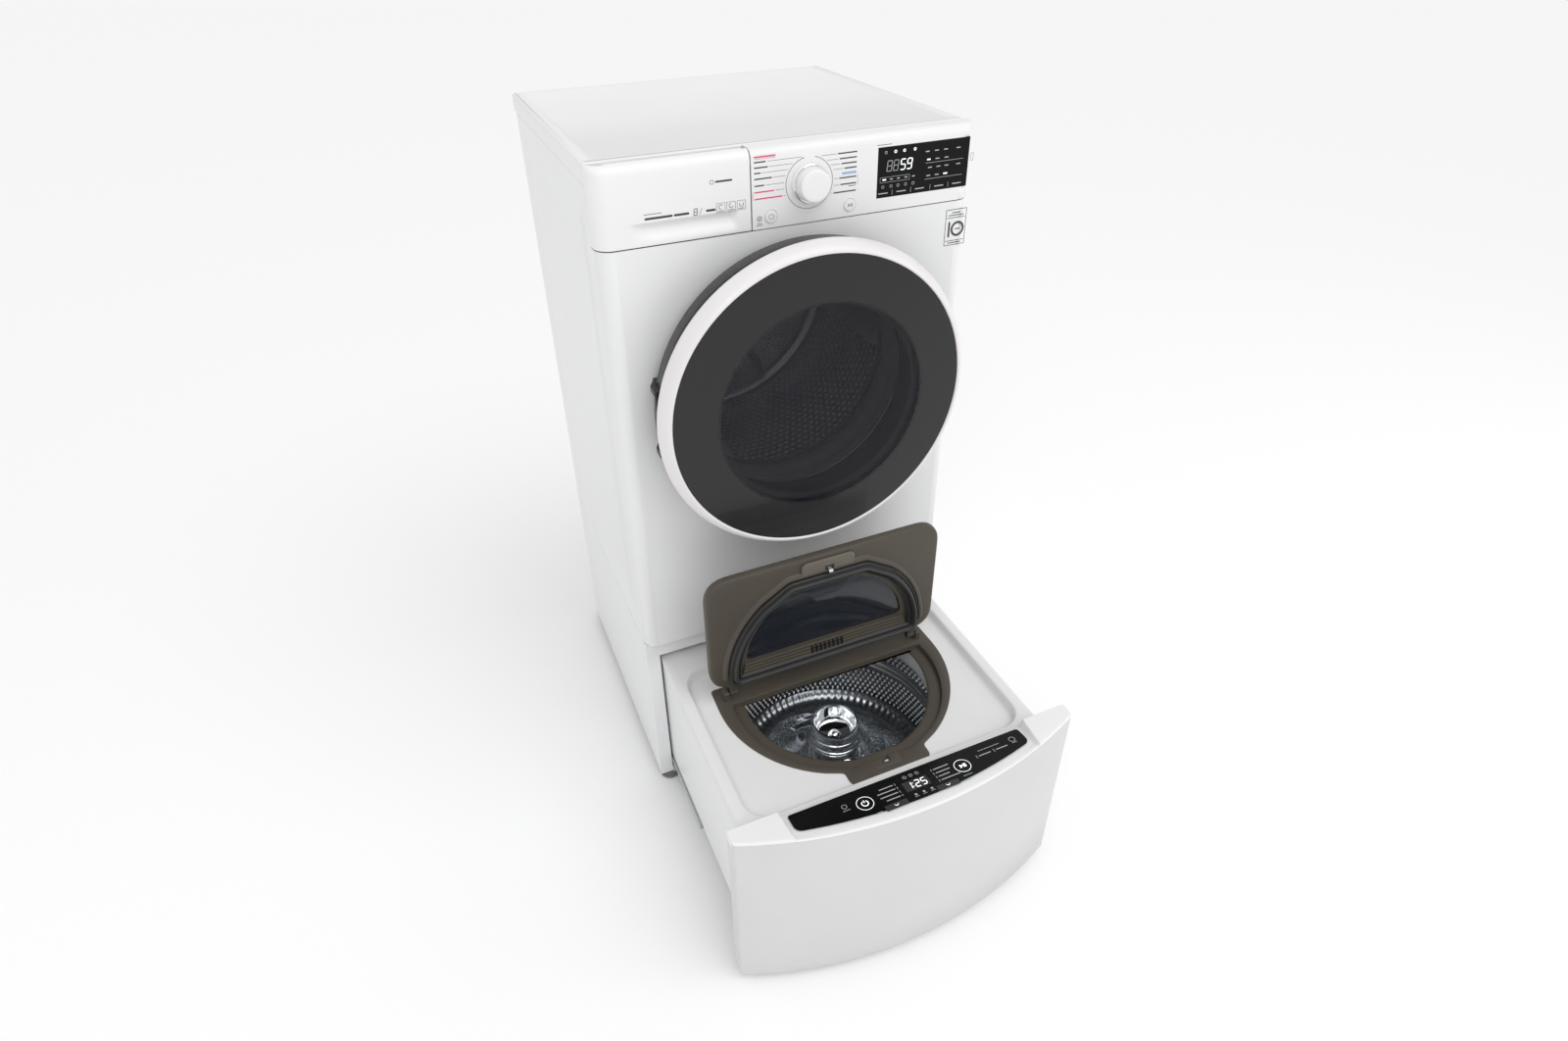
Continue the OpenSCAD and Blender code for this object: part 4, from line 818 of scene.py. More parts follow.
def control_strip():
    shell = Shell(on_strip)
    shell.plate(strip_outline()[::-1], [(0, 0.1 * MM), (0, 1.5 * MM), (0.5 * MM, 2.0 * MM), (1.2 * MM, 2.1 * MM)])
    shell.done("strip_panel", BLACK_PANEL, "drawer", "black_panel", "control_strip")
    face = 2.1 * MM
    marks = Marks(on_strip, face)
    back = DRAWER_Y
    for x, kind in ((-91, "power"), (81, "play")):
        cu, cv = x * MM, back - 36 * MM
        marks.hoop(cu, cv, 13.2 * MM, 0.8 * MM)
        if kind == "power":
            marks.power(cu, cv, 5.2 * MM, 1.5 * MM)
        else:
            marks.play(cu + 0.5 * MM, cv, 5 * MM, 2 * MM)
    marks.done("strip_buttons", LIT, "drawer", "black_panel")
    window = Marks(on_strip, face, 0.2 * MM)
    window.bar(-2 * MM, back - 36 * MM, 43 * MM, 20 * MM, 1 * MM)
    for x in (-50, 40):
        window.bar(x * MM, back - 60.5 * MM, 38 * MM, 11 * MM, 1 * MM)
    window.done("strip_windows", PAD_GREY, "drawer", "black_panel")
    lit = Marks(on_strip, face + 0.2 * MM)
    for number, x in ((1, -14), (2, 0), (5, 11)):
        lit.digit(number, x * MM, back - 36 * MM, 7 * MM, 13.5 * MM, 1.5 * MM)
    for dy in (-32.5, -39.5):
        lit.bar((-7.5 + 0.1 * (dy + 36)) * MM, back + dy * MM, 1.6 * MM, 1.6 * MM)
    for x in (-50, 40):
        lit.line([((x - 3.4) * MM, back - 58.8 * MM), (x * MM, back - 61.8 * MM), ((x + 3.4) * MM, back - 58.8 * MM)], 0.9 * MM)
    lit.done("strip_digits", LIT, "drawer", "black_panel")
    # printed labels in the glowing print: a faint painted glow
    dim = Marks(on_strip, face)
    for row, (left, right) in enumerate(((24, 27), (31, 25), (30, 20), (24, 34))):
        cv = back - (22.5 + 8.2 * row) * MM
        dim.bar((-36 - left / 2) * MM, cv, left * MM, 1.7 * MM)
        dim.bar(-32.5 * MM, cv, 0.9 * MM, 4.6 * MM)
        dim.bar((36 + right / 2) * MM, cv, right * MM, 1.7 * MM)
        dim.bar(32.5 * MM, cv, 0.9 * MM, 4.6 * MM)
    for x in (-12, -1, 10):
        dim.hoop(x * MM, back - 16.5 * MM, 3 * MM, 0.6 * MM, 24)
        dim.bar(x * MM, back - 16.5 * MM, 2.4 * MM, 1.1 * MM)
    for x in (-14, 0, 14):
        dim.bar(x * MM, back - 55 * MM, 4 * MM, 3.4 * MM, 0.8 * MM)
        dim.bar(x * MM, back - 59.2 * MM, 7 * MM, 0.9 * MM)
    dim.bar(112 * MM, back - 30 * MM, 0.8 * MM, 7 * MM)
    dim.bar(127 * MM, back - 30 * MM, 22 * MM, 1.7 * MM)
    dim.bar(144 * MM, back - 30 * MM, 0.8 * MM, 7 * MM)
    dim.bar(159 * MM, back - 30 * MM, 22 * MM, 1.7 * MM)
    dim.bar(140 * MM, back - 20 * MM, 40 * MM, 0.9 * MM)
    dim.bar(-122 * MM, back - 36 * MM, 12 * MM, 1.0 * MM)
    dim.hoop(-122 * MM, back - 28 * MM, 4 * MM, 0.8 * MM, 24)
    dim.hoop(184 * MM, back - 22 * MM, 5 * MM, 0.9 * MM, 32)
    dim.bar(184 * MM, back - 29.5 * MM, 9 * MM, 1.0 * MM)
    for x, w, dy in ((-80, 9, -62), (78, 16, -56), (70, 18, -65)):
        dim.bar(x * MM, back + dy * MM, w * MM, 0.9 * MM)
    dim.done("strip_print", GLOWING_PRINT, "drawer", "black_panel")


def tray():
    """White top of the drawer: rim, soft-edged dish and the opening under the collar."""
    half = high("drawer_tray").x
    y0, y1 = low("drawer_tray").y, high("drawer_tray").y
    base = DISH_Z - 3 * MM
    shell = Shell()
    rim = rectangle(2 * half, y1 - y0, 3 * MM, 0, (y0 + y1) / 2)
    foot, edge = shell.walls([(rim, base), (rim, RIM_Z - 2.4 * MM), (offset(rim, -0.7 * MM), RIM_Z - 0.8 * MM),
                              (offset(rim, -2.6 * MM), RIM_Z)])
    d0, d1 = y0 + 28 * MM, y0 + 366 * MM
    dish = rectangle(502 * MM, d1 - d0, 46 * MM, 0, (d0 + d1) / 2, 14)
    lip, floor = shell.walls([(offset(dish, 3.6 * MM), RIM_Z), (offset(dish, 1.5 * MM), RIM_Z - 0.5 * MM), (dish, RIM_Z - 2 * MM),
                              (offset(dish, -1.8 * MM), RIM_Z - 7 * MM), (offset(dish, -3.2 * MM), DISH_Z + 4.5 * MM),
                              (offset(dish, -5.6 * MM), DISH_Z + 1.6 * MM), (offset(dish, -9.5 * MM), DISH_Z + 0.3 * MM),
                              (offset(dish, -14 * MM), DISH_Z)])
    opening = offset(collar_outline(), -8 * MM)
    hole, under = shell.walls([(opening, DISH_Z), (opening, base)])
    shell.fill(edge, lip)
    shell.fill(floor, hole)
    shell.fill(foot, under)
    shell.done("tray_top", TRAY_WHITE, "drawer", "tray_plastic", "drawer_tray", smooth=40)


# ---- Perforated drums ----

def drilled(bm, point, columns, heights, hole, dent, deep):
    """Wall with a raised-rim hole in every cell. point(angle, height, out) gives a place on the wall, the
    rows are staggered by half a cell, and the rims take the second material, a brighter steel that paints a highlight
    on them."""
    step = TAU / columns
    grid = [[bm.verts.new(point((i + 0.5 * k) * step, h, 0)) for i in range(columns)] for k, h in enumerate(heights)]
    radius = Vector(point(0, heights[0], 0)) - Vector(point(math.pi, heights[0], 0))
    per_metre = 2 / radius.length
    for k in range(len(heights) - 1):
        mid = (heights[k] + heights[k + 1]) / 2
        for i in range(columns):
            j = (i + 1) % columns
            corners = [grid[k + 1][j], grid[k + 1][i], grid[k][i], grid[k][j]]
            centre = (i + 0.5 * k + 0.75) * step
            rings = []
            for r, out in ((dent, 0), ((dent + hole) / 2, -deep), (hole, -0.2 * deep), (hole * 0.97, deep)):
                rings.append([bm.verts.new(point(centre + r * math.cos(a) * per_metre, mid + r * math.sin(a), out))
                              for a in (math.radians(22.5 + 45 * n) for n in range(8))])
            outer = rings[0]
            for n in range(4):
                bm.faces.new((corners[n], outer[2 * n + 1], outer[2 * n]))
                bm.faces.new((corners[n], corners[(n + 1) % 4], outer[(2 * n + 2) % 8], outer[2 * n + 1]))
            for a, b in zip(rings, rings[1:]):
                for n in range(8):
                    m = (n + 1) % 8
                    bm.faces.new((a[n], a[m], b[m], b[n])).material_index = 1


def small_drum():
    r = high("mini_drum").x - 1 * MM

    def point(angle, height, out):
        return (MINI.x + (r + out) * math.cos(angle), MINI.y + (r + out) * math.sin(angle), height)

    wall = Shell()
    lower = [(91 + 10.6 * i) * MM for i in range(8)]
    upper = [(203 + 10.4 * i) * MM for i in range(4)]
    drilled(wall.bm, point, 116, lower, 1.9 * MM, 3.9 * MM, 1.1 * MM)
    drilled(wall.bm, point, 116, upper, 1.9 * MM, 3.9 * MM, 1.1 * MM)
    # drilled wall in the darker steel, painted shade; hole rims in the brighter steel, painted highlight
    wall.done("small_drum_wall", SHADED_DRUM_STEEL, "mini_drum", "stainless", "mini_drum", smooth=50).data.materials.append(RIM_HIGHLIGHT_STEEL)
    bands = Shell()
    cu, cv = MINI.x, MINI.y
    # ridges between the drilled zones, and the plain edge under the balance ring
    z = lower[-1] / MM
    ridge = [(0, z), (0, z + 3), (-2.6, z + 5), (-4.6, z + 9), (-4.6, z + 12), (-2.4, z + 16), (0, z + 18), (0, z + 20.5),
             (-3, z + 22.5), (-4.6, z + 26), (-3.6, z + 29.5), (0, z + 32.5), (0, 203)]
    bands.turned([(r + d * MM, h * MM) for d, h in ridge], 160, False, cu, cv)
    bands.turned([(r, upper[-1]), (r, 252 * MM)], 160, False, cu, cv)
    bands.done("small_drum_bands", STEEL, "mini_drum", "stainless")
    foot = Shell()
    rows = [(0, 91), (-0.5, 89), (-3, 84), (-9, 77), (-19, 71), (-30, 68), (-42, 67.2), (-180, 67.2)]
    flutes = 84
    rings = []
    for k, (d, h) in enumerate(rows):
        deep = 1.6 * MM if 1 < k < 6 else 0
        rings.append([foot.bm.verts.new((cu + (r + d * MM - deep * (i % 4 in (1, 2))) * math.cos(TAU * i / (4 * flutes)),
                                         cv + (r + d * MM - deep * (i % 4 in (1, 2))) * math.sin(TAU * i / (4 * flutes)), h * MM))
                      for i in range(4 * flutes)])
    for a, b in zip(rings, rings[1:]):
        foot.join(a, b)
    # the foot also takes the darker steel: painted shade
    foot.done("small_drum_foot", SHADED_DRUM_STEEL, "mini_drum", "stainless", smooth=30)
    ring = Shell()
    profile = [(175, 262), (175.4, 257.5), (178, 250.5), (182, 247.4), (186, 246.4), (194.6, 246.4), (195.8, 247.6), (195.8, 282),
               (194.4, 283.8), (184, 284), (180, 283), (177, 280.4), (175.4, 276), (175, 270)]
    ring.turned([(a * MM, h * MM) for a, h in profile], 160, True, cu, cv)
    ring.done("balance_rim", TUB_GREY, "mini_drum", "grey_tub_plastic", "balance_ring", smooth=40)


def pulsator():
    """Conical wash plate with three swept petals and a stepped cup on top."""
    cu, cv = MINI.x, MINI.y
    shell = Shell()
    spokes, rows = 216, 44
    slope = [(44, 172), (48, 170.5), (56, 160), (70, 142), (86, 124), (104, 108), (126, 93), (146, 82), (156, 75)]

    def cone(r):
        for (a, za), (b, zb) in zip(slope, slope[1:]):
            if r <= b * MM:
                return (za + (zb - za) * (r / MM - a) / (b - a)) * MM
        return slope[-1][1] * MM

    radii = [(44 + (155 - 44) * k / rows) * MM for k in range(rows + 1)]
    rings = []
    for r in radii:
        ring = []
        for i in range(spokes):
            a = TAU * i / spokes
            t = (3 * a / TAU + 0.42 * r / (150 * MM)) % 1
            window = smooth((r - 50 * MM) / (26 * MM)) * smooth((153 * MM - r) / (14 * MM))
            if t < 0.58:
                rise = 19 * MM * math.sin(math.pi * (t / 0.58) ** 1.7) ** 1.2
            else:
                rise = 0.9 * MM * math.cos(TAU * r / (8 * MM))
            z = cone(r) + rise * window
            ring.append(shell.bm.verts.new((cu + r * math.cos(a), cv + r * math.sin(a), z)))
        rings.append(ring)
    for a, b in zip(rings, rings[1:]):
        shell.join(a, b)
    rim = shell.ring(circle(156 * MM, spokes, cu, cv), 72 * MM)
    under = shell.ring(circle(150 * MM, spokes, cu, cv), 69.5 * MM)
    shell.join(rings[-1], rim)
    shell.join(rim, under)
    shell.fill(under)
    shell.fill(rings[0])
    shell.done("wash_plate", CHROME, "pulsator", "stainless", "pulsator", smooth=50)
    cup = Shell()
    steps = [(47, 168), (48.6, 172), (48.4, 176), (45.4, 178), (44.8, 179.4), (46.2, 182), (46.6, 188), (46, 193), (43.4, 195),
             (42.8, 196.4), (44.6, 200), (44.8, 206), (43.4, 211), (41.8, 213.6), (39.8, 213.6), (38.4, 211), (38, 205),
             (37.8, 186), (35, 178), (30, 175), (12, 173), (9, 179), (5, 182), (0.05, 182.6)]
    cup.turned([(a * MM, h * MM) for a, h in steps], 96, False, cu, cv)
    cup.done("wash_plate_cup", CHROME, "pulsator", "stainless", smooth=40)


# ---- Door ----

def around_door(u, v, w):
    """Outline facing the front about the door's middle, height towards the back from the front panel."""
    return (u, FRONT + w, DOOR_Z + v)


def turned_door(name, profile, material, body, slot, *nodes, steps=180, wrap=True, angle=35):
    shell = Shell(around_door)
    shell.turned([(r * MM, w * MM) for r, w in profile], steps, wrap)
    return shell.done(name, material, body, slot, *nodes, smooth=angle)


def door():
    turned_door("door_ring", [(242, -92.4), (242.5, -93.8), (244, -94.5), (245.6, -94.2), (249.5, -91.4), (253.5, -86),
                              (256.6, -80), (258.5, -75), (259, -72), (258.6, -69), (257, -66.8), (255, -66), (239, -66),
                              (239, -70), (242, -76)], RING_WHITE, "door", "light_grey_front", "door_trim_ring", angle=50)
    dome = [(241.6 * math.sin(math.pi / 2 * k / 14), 0) for k in range(15)]
    front = [(max(0.02, r), -93 - 8 * (1 - (r / 242) ** 2)) for r, _ in dome]
    rim = [(241.7, -92.6), (241.7, -90)]
    turned_door("door_glass_pane", front + rim + [(max(0.02, r), w + 4) for r, w in reversed(front[:-1])],
                DOOR_GLASS, "door", "dark_glass", "door_outer_glass", wrap=False, angle=60)
    turned_door("door_skirt", [(232, -82), (236, -84), (236, -65.4), (244, -65.4), (249, -64), (250, -61), (249.4, -50),
                               (248.2, -49), (248.2, -46.6), (249.2, -45.6), (248, -22), (245, -15.5), (241, -14.2),
                               (190, -14), (180, -14.6), (178, -17), (178, -19), (231, -19), (233, -22)],
                BLACK_PLASTIC, "door", "black_plastic", "door_inner_frame")
    turned_door("door_skirt_line", [(248.0, -46.8), (249.7, -46.8), (249.7, -48.8), (248.0, -48.8)],
                PAD_GREY, "door", "black_plastic")
    bowl = [(186, -24.6), (186, -19.6), (176, -19.2), (173.4, -16), (172, -10), (166, 12), (158, 38), (151, 64), (147, 71.5),
            (140, 77.6), (130, 81.4), (118, 84), (80, 86.6), (40, 87.8), (0.02, 88), (0.02, 84), (40, 83.8), (78, 82.6), (116, 80),
            (127, 77.4), (136, 74), (142.6, 69), (147, 62), (154, 36), (162, 10), (168.4, -12), (170, -18), (171, -24.6)]
    turned_door("door_bowl", bowl, CLEAR, "door", "clear_glass", "door_bowl_glass", angle=60)
    turned_door("window_rim", [(163, -80), (169.6, -84), (171.6, -84), (165, -79)], PAD_GREY, "door", "black_plastic", angle=60)
    fold = [(203, 2.6), (203, 57), (201, 58.4), (197, 58.2), (191, 55), (184, 50.4), (181.4, 46), (181.4, 42.4), (183.6, 39),
            (188, 35.4), (192.6, 31.6), (194, 28.4), (193.6, 25), (190, 20), (185.6, 15.6), (183.2, 12), (182.8, 6), (184, 3.2), (187, 2.4)]
    turned_door("folded_gasket", fold, GREY_RUBBER, "cabinet", "grey_rubber", "door_gasket", angle=60)
    pin = joint_pos("door_swing")
    bracket = Shell()
    for side in (-1, 1):
        z = DOOR_Z + side * 53 * MM
        # a gooseneck, bent inward behind the door so that the shut door hides it
        ear = rounded([(pin.x - 4.6 * MM, pin.y - 4.8 * MM, 4 * MM), (pin.x + 5 * MM, pin.y - 4.8 * MM, 4 * MM),
                       (pin.x + 5.4 * MM, FRONT - 19 * MM, 2 * MM), (pin.x + 19 * MM, FRONT - 0.5 * MM, 1 * MM),
                       (pin.x + 7 * MM, FRONT - 0.5 * MM, 1 * MM), (pin.x - 4.6 * MM, FRONT - 23 * MM, 3 * MM)])
        bracket.plate(ear, [(0.8 * MM, z - 5 * MM), (0, z - 4.2 * MM), (0, z + 4.2 * MM), (0.8 * MM, z + 5 * MM)])
    bracket.plate(circle(3.4 * MM, 32, pin.x, pin.y), [(0.6 * MM, DOOR_Z - 56 * MM), (0, DOOR_Z - 55 * MM), (0, DOOR_Z + 55 * MM), (0.6 * MM, DOOR_Z + 56 * MM)])
    bracket.block((pin.x + 6 * MM, FRONT - 2 * MM, DOOR_Z - 58 * MM), (pin.x + 20 * MM, FRONT - 0.1 * MM, DOOR_Z + 58 * MM), 0.6 * MM)
    bracket.done("hinge_bracket", BLACK_PLASTIC, "cabinet", "black_plastic", "door_hinge")


def wash_drum():
    r = 238.6 * MM
    back = high("wash_drum").y

    def point(angle, depth, out):
        return ((r + out) * math.cos(angle), depth, DOOR_Z + (r + out) * math.sin(angle))

    wall = Shell()
    first = low("wash_drum").y + 16 * MM
    rows = [first + 14.2 * MM * i for i in range(22)]
    drilled(wall.bm, point, 106, rows, 2.2 * MM, 4.2 * MM, 1.2 * MM)
    # drilled wall in the darker steel, painted shade; hole rims in the brighter steel, painted highlight
    wall.done("wash_drum_wall", SHADED_DRUM_STEEL, "drum", "stainless", "wash_drum", smooth=50).data.materials.append(RIM_HIGHLIGHT_STEEL)
    y0, y1 = (low("wash_drum").y - FRONT) / MM, (back - FRONT) / MM
    turned_door("wash_drum_lip", [(238.6, y0 + 16), (238.6, y0 + 3), (236, y0 + 0.8), (196, y0 + 0.4), (192, y0 + 1.6), (190.2, y0 + 4.6)],
                STEEL, "drum", "stainless", wrap=False)
    # pressed back wall: three broad arms and a raised hub
    shell = Shell(around_door)
    spokes, rings = 180, []
    for k in range(25):
        rr = (238.6 - 236 * k / 24) * MM
        ring = []
        for i in range(spokes):
            a = TAU * i / spokes
            arm = smooth((math.cos(3 * (a - math.pi / 2)) + 0.35) / 0.5)
            press = 9 * MM * arm * smooth((rr - 40 * MM) / (25 * MM)) * smooth((228 * MM - rr) / (12 * MM))
            hub = 12 * MM * smooth((60 * MM - rr) / (18 * MM))
            edge = 6 * MM * smooth((rr - 232 * MM) / (6 * MM))
            ring.append(shell.bm.verts.new(shell.place(rr * math.cos(a), rr * math.sin(a), (y1 - 3) * MM - press - hub - edge)))
        rings.append(ring)
    for a, b in zip(rings, rings[1:]):
        shell.join(a, b)
    shell.fill(rings[-1])
    shell.done("wash_drum_back", STEEL, "drum", "stainless", smooth=50)


# ---- Control band ----

def band_x(part):
    return low(part).x, high(part).x


def detergent_front():
    """Left part of the band, with its rounded corner and the soft scoop of the grip."""
    foot, top = low("control_panel").z, high("control_panel").z
    right = high("detergent_drawer_front").x
    seam = high("control_panel").y
    corner, round_top = 25 * MM, 14 * MM
    plan = [(-HALF_W, seam - 4 * MM * i / 2, -1, 0) for i in range(3)]
    plan += [(-HALF_W + corner * (1 - math.cos(a)), FRONT + corner * (1 - math.sin(a)), -math.cos(a), -math.sin(a))
             for a in (math.pi / 2 * i / 12 for i in range(13))]
    plan += [(x, FRONT, 0, -1) for x in [-HALF_W + corner + (right + HALF_W - corner - 0.8 * MM) * i / 68 for i in range(1, 69)]]
    plan += [(right, FRONT + 0.8 * MM, 0, -1)]
    scoop = (foot + 4 * MM, foot + 33 * MM)

    def depth(x, z):
        t = (z - scoop[0]) / (scoop[1] - scoop[0])
        if not 0 < t < 1:
            return 0
        wide = smooth((x + 256 * MM) / (44 * MM)) * smooth((-93 * MM - x) / (7 * MM))
        return 11 * MM * wide * math.sin(math.pi * t ** 2.1) ** 0.8

    shell = Shell()
    columns = []
    for x, y, nx, ny in plan:
        r = (2.5 + 11.5 * abs(ny)) * MM
        column = [(0.8 * MM, foot), (0.2 * MM, foot + 0.3 * MM), (0, foot + 1 * MM)]
        column += [(depth(x, z) if ny == -1 else 0, z) for z in [foot + (3 + 1.25 * i) * MM for i in range(26)]]
        column += [(0, foot + 60 * MM), (0, top - 30 * MM)]
        column += [(r * (1 - math.cos(a)), top - r + r * math.sin(a)) for a in (math.pi / 2 * i / 8 for i in range(9))]
        columns.append([shell.bm.verts.new((x - nx * d, y - ny * d, z)) for d, z in column])
    for a, b in zip(columns, columns[1:]):
        shell.join(a, b, closed=False)
    roof = [column[-1] for column in columns]
    ends = [shell.bm.verts.new((roof[-1].co.x, seam, top)), shell.bm.verts.new((roof[0].co.x, seam, top))]
    shell.fill(roof + ends)
    piece = shell.done("detergent_front", WHITE_PLASTIC, "detergent_drawer", "white_plastic", "detergent_drawer_front", smooth=30)
    wall = piece.modifiers.new("wall", "SOLIDIFY")
    wall.thickness = 2.6 * MM
    wall.offset = -1


def dial():
    spot = joint_pos("dial_turn")
    place = lambda u, v, w: (spot.x + u, FRONT - w, spot.z + v)
    knob = Shell(place)
    outline = [(28, 0.4), (28.2, 1.4), (27.6, 3.2), (27.2, 6.5), (26.4, 8)]
    knob.turned([(r * MM, w * MM) for r, w in [(0.02, 0.4)] + outline + [(25, 8.6), (24.6, 9)]], 144, False)
    # fluted side of the grip
    rings = []
    for r, w, deep in ((24.6, 9, 0), (24.4, 10, 0.5), (23.6, 21, 0.5), (23.4, 22.4, 0.1), (22.8, 23.6, 0), (21.4, 24.3, 0)):
        rings.append(knob.ring([((r - deep * (i % 3 == 0)) * MM * math.cos(TAU * i / 144), (r - deep * (i % 3 == 0)) * MM * math.sin(TAU * i / 144))
                                for i in range(144)], w * MM))
    for a, b in zip(rings, rings[1:]):
        knob.join(a, b)
    cap = knob.ring(circle(0.02 * MM, 144), 24 * MM)
    dish = knob.ring(circle(18 * MM, 144), 24 * MM)
    knob.join(rings[-1], dish)
    knob.join(dish, cap)
    knob.done("dial_knob", WHITE_PLASTIC, "dial", "white_plastic", "program_dial", smooth=40)
    trim = Shell(place)
    trim.turned([(r * MM, w * MM) for r, w in ((26.4, 7.6), (27.4, 7.2), (27.8, 8.4), (27, 9.2), (25.2, 9.0))], 144)
    trim.done("dial_trim", CHROME, "dial", "white_plastic")
    pointer = Marks(place, 7.6 * MM, 1.2 * MM)
    pointer.bar(0, 25.9 * MM, 1.4 * MM, 2.4 * MM)
    pointer.done("dial_pointer", INK, "dial", "white_plastic")
    hoop = Marks(place)
    hoop.sweep(0, 0, 37 * MM, 1.1 * MM, math.radians(103), math.radians(437), 72)
    hoop.done("dial_ring", INK_GREY, "cabinet", "black_plastic")


def band_print():
    """Programme dashes with leader lines, icons and the frame of the badge. Dashes stand in for words."""
    spot = joint_pos("dial_turn")
    ink = Marks(facing(FRONT))
    pink = Marks(facing(FRONT))
    blue = Marks(facing(FRONT))
    left = ((1204, 33, pink), (1197, 18, ink), (1189.5, 21, ink), (1182, 10, ink), (1174, 27, ink), (1164.5, 15, ink),
            (1155.5, 30, pink), (1146, 43, pink))
    for z, w, marks in left:
        cu, cv = -66.5 * MM, z * MM
        marks.bar(cu + w * MM / 2, cv, w * MM, 1.9 * MM)
        dv = cv - spot.z
        if abs(dv) < 36 * MM:
            reach = spot.x - math.sqrt((40 * MM) ** 2 - dv * dv)
            if cu + (w + 3) * MM < reach:
                ink.line([(cu + (w + 2) * MM, cv), (reach, cv)], 0.5 * MM)
    ink.line([(-45.5 * MM, 1197 * MM), (6 * MM, 1197 * MM), (9 * MM, 1194.5 * MM)], 0.5 * MM)
    pink.line([(-66 * MM, 1201.4 * MM), (-33.5 * MM, 1201.4 * MM)], 0.5 * MM)
    pink.line([(-67.5 * MM, 1156 * MM), (-69 * MM, 1156 * MM), (-69 * MM, 1144.6 * MM), (-67.5 * MM, 1144.6 * MM)], 0.5 * MM)
    right = ((1195, 31, ink), (1187.6, 28, ink), (1180.4, 25, ink), (1173.4, 20, ink), (1166.6, 24, blue), (1159.9, 28, ink),
             (1150.5, 26, ink), (1139.6, 37, ink))
    for z, w, marks in right:
        marks.bar((95 - w / 2) * MM, z * MM, w * MM, 1.9 * MM)
        dv = z * MM - spot.z
        reach = spot.x + math.sqrt(max(0, (40 * MM) ** 2 - dv * dv))
        if marks is ink and (95 - w - 2) * MM > reach:
            ink.line([(reach, z * MM), ((95 - w - 2) * MM, z * MM)], 0.5 * MM)
    blue.line([(72 * MM, 1164.4 * MM), (95 * MM, 1164.4 * MM)], 0.5 * MM)
    blue.line([(97.5 * MM, 1163 * MM), (97.5 * MM, 1147 * MM)], 0.5 * MM)
    ink.bar(88 * MM, 1147 * MM, 12 * MM, 0.9 * MM)
    # small icon beside the power button, and the one right of the display
    ink.hoop(-60 * MM, 1117.5 * MM, 3.6 * MM, 0.7 * MM, 24)
    ink.hoop(-60 * MM, 1117.5 * MM, 1.6 * MM, 0.7 * MM, 24)
    ink.bar(-60 * MM, 1110.4 * MM, 8 * MM, 0.8 * MM)
    ink.bar(-60 * MM, 1107.8 * MM, 10 * MM, 0.8 * MM)
    ink.bar(140 * MM, 1199.4 * MM, 24 * MM, 0.8 * MM)
    ink.line([(292 * MM, 1160 * MM), (292 * MM, 1171 * MM), (296.4 * MM, 1171 * MM), (296.4 * MM, 1160 * MM), (292 * MM, 1160 * MM)], 0.5 * MM)
    # badge on the front panel: plain framed square with a ring
    for points in ([(257, 1030), (294, 1030), (294, 1087), (257, 1087), (257, 1030)], [(259, 1037), (292, 1037)], [(259, 1074), (292, 1074)]):
        ink.line([(u * MM, v * MM) for u, v in points], 1 * MM)
    ink.bar(264 * MM, 1055.5 * MM, 3.4 * MM, 25 * MM)
    ink.hoop(279.5 * MM, 1055.5 * MM, 10.4 * MM, 3.6 * MM)
    ink.bar(279.5 * MM, 1055.5 * MM, 9 * MM, 1.6 * MM)
    for z, w in ((1082, 16), (1078, 28), (1033.6, 24)):
        ink.bar(275.5 * MM, z * MM, w * MM, 1.4 * MM)
    ink.done("band_print", INK, "cabinet", "black_plastic")
    pink.done("band_print_pink", INK_PINK, "cabinet", "black_plastic")
    blue.done("band_print_blue", INK_BLUE, "cabinet", "black_plastic")


def grip_print():
    """Dashes, a figure and small framed icons over the grip of the detergent drawer."""
    marks = Marks(facing(FRONT))
    for x, w in ((-209, 40), (-176, 22), (-133, 14)):
        marks.bar(x * MM, 1140 * MM, w * MM, 3.2 * MM)
    marks.bar(-217 * MM, 1146 * MM, 26 * MM, 0.8 * MM)
    marks.digit(8, -155.5 * MM, 1140.4 * MM, 5 * MM, 9 * MM, 1.1 * MM)
    marks.line([(-150 * MM, 1135.5 * MM), (-146 * MM, 1145 * MM)], 0.6 * MM)
    for i, x in enumerate((-118, -102.5, -87)):
        for points in ([(-6.4, -6.4), (6.4, -6.4), (6.4, 6.4), (-6.4, 6.4), (-6.4, -6.4)],):
            marks.line([((x + u) * MM, (1141.5 + v) * MM) for u, v in points], 0.5 * MM)
        marks.sweep(x * MM, 1142.6 * MM, 3 * MM, 0.8 * MM, 0.5 + i, 5 + i, 16)
        marks.bar(x * MM, 1137 * MM, 9 * MM, 0.8 * MM)
    marks.bar(-112 * MM, 1178 * MM, 25 * MM, 2.6 * MM)
    marks.hoop(-129.5 * MM, 1178 * MM, 2.8 * MM, 0.7 * MM, 24)
    marks.done("grip_print", INK, "detergent_drawer", "black_plastic")


